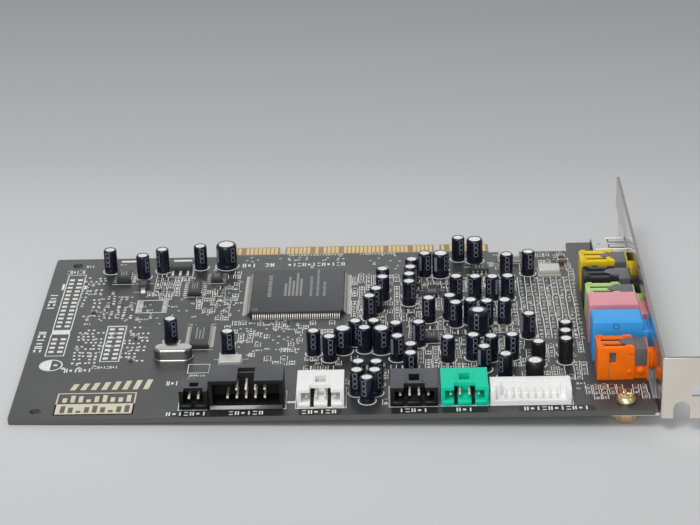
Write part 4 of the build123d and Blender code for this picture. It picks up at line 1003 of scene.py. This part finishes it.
# Stage: pale sheet under the card, tipped so that the board's left edge and the nut both touch it.
# It is painted darker toward the back: painted shade for the light falling off on a studio sweep.
# Under the card and from below it lets light through, so that the solder side can be looked at.
LEFT_X, LEFT_Z, NUT_X, NUT_Z = -94.29, -0.785, 73.0, -5.25
SHEET_REACH = 4000
slope = (NUT_Z - LEFT_Z) / (NUT_X - LEFT_X)
corners = [(x * SHEET_REACH, y * SHEET_REACH) for x, y in ((-1, -1), (1, -1), (1, 1), (-1, 1))]
sheet_points = [(x * MM, y * MM, (LEFT_Z + (x - LEFT_X) * slope - 0.02) * MM) for x, y in corners]
floor_mesh = bpy.data.meshes.new("pale_sheet")
floor_mesh.from_pydata(sheet_points, [], [(0, 1, 2, 3)])
sheet = bpy.data.objects.new("pale_sheet", floor_mesh)
bpy.context.scene.collection.objects.link(sheet)
paper = bpy.data.materials.new("pale_paper")
paper.use_nodes = True
tree = paper.node_tree
painted_light_look = tree.nodes["Principled BSDF"]
painted_light_look.inputs["Roughness"].default_value = 0.85
spot = axes(tree, "TexCoord", "Object")
# Painted shade: the paper's colour falls from pale at the front to darker at the back.
depth = add_node(tree, "MapRange", {"Value": spot["Y"], "From Min": -0.20, "From Max": 0.30}).outputs["Result"]
shade = add_node(tree, "ValToRGB", {"Fac": depth})
ramp = shade.color_ramp
ramp.interpolation = "B_SPLINE"
while len(ramp.elements) < 5:
    ramp.elements.new(0.5)
stops = ((0.0, 0.50), (0.22, 0.60), (0.40, 0.60), (0.56, 0.475), (1.0, 0.25))
for stop, (position, pale) in zip(ramp.elements, stops):
    stop.position = position
    stop.color = (pale * 0.99, pale, pale * 1.005, 1)
tree.links.new(shade.outputs["Color"], painted_light_look.inputs["Base Color"])
inside = []
for axis, centre, half in (("X", -0.007, 0.087), ("Y", -0.0535, 0.0525)):
    off = reckon(tree, "ABSOLUTE", reckon(tree, "SUBTRACT", spot[axis], centre))
    inside.append(reckon(tree, "LESS_THAN", off, half))
seen = add_node(tree, "LightPath").outputs["Is Camera Ray"]
unseen = reckon(tree, "SUBTRACT", reckon(tree, "MULTIPLY", *inside), seen)
open_to = reckon(tree, "MAXIMUM", add_node(tree, "NewGeometry").outputs["Backfacing"], unseen)
clear = add_node(tree, "BsdfTransparent").outputs["BSDF"]
under = add_node(tree, "MixShader", {"Fac": open_to, 1: painted_light_look.outputs["BSDF"], 2: clear})
tree.links.new(under.outputs["Shader"], tree.nodes["Material Output"].inputs["Surface"])
floor_mesh.materials.append(paper)
sheet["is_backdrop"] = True

# Light: a soft box high in front, a wide dim panel behind and a low fill toward the near edge.
# An even pale surround opens the shadows, as in a bright room.
world = bpy.data.worlds.new("surround")
world.use_nodes = True
surround = world.node_tree.nodes["Background"].inputs
surround["Color"].default_value = (0.96, 0.98, 1.0, 1)
surround["Strength"].default_value = 0.36
bpy.context.scene.world = world
AIM = Vector((0, -0.05, 0))
for name, spot, size, power in (
    ("front_box", (-0.25, -0.62, 1.1), 0.55, 9.0),
    ("back_panel", (0.1, 1.15, 0.66), 1.3, 5.0),
    ("front_fill", (-0.1, -1.5, 0.5), 1.2, 7.5),
):
    lamp = bpy.data.lights.new(name, "AREA")
    lamp.size = size
    lamp.energy = power
    holder = bpy.data.objects.new(name, lamp)
    holder.location = spot
    holder.rotation_euler = (AIM - Vector(spot)).to_track_quat("-Z", "Y").to_euler()
    bpy.context.scene.collection.objects.link(holder)

# Camera: where the photograph was taken from, above and in front of the near edge.
# Its place, turn and focal length were solved on the board's corners, notches and contacts.
yaw, pitch, roll = -0.0260, 0.45085, -0.028915
ahead = Vector((math.sin(yaw) * math.cos(pitch), math.cos(yaw) * math.cos(pitch), -math.sin(pitch)))
right = Vector((math.cos(yaw), -math.sin(yaw), 0))
up = right.cross(ahead)
level = math.cos(roll) * right + math.sin(roll) * up
upward = -math.sin(roll) * right + math.cos(roll) * up
eye = bpy.data.cameras.new("eye")
eye.sensor_width = 36
eye.lens = 107.84
eye.clip_start = 0.01
camera = bpy.data.objects.new("eye", eye)
spot = Vector((12.31, -596.29, 283.375)) * MM
camera.matrix_world = Matrix((
    (level.x, upward.x, -ahead.x, spot.x),
    (level.y, upward.y, -ahead.y, spot.y),
    (level.z, upward.z, -ahead.z, spot.z),
    (0, 0, 0, 1),
))
bpy.context.scene.collection.objects.link(camera)
bpy.context.scene.camera = camera
bpy.context.scene.view_settings.view_transform = "Standard"

low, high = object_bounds()
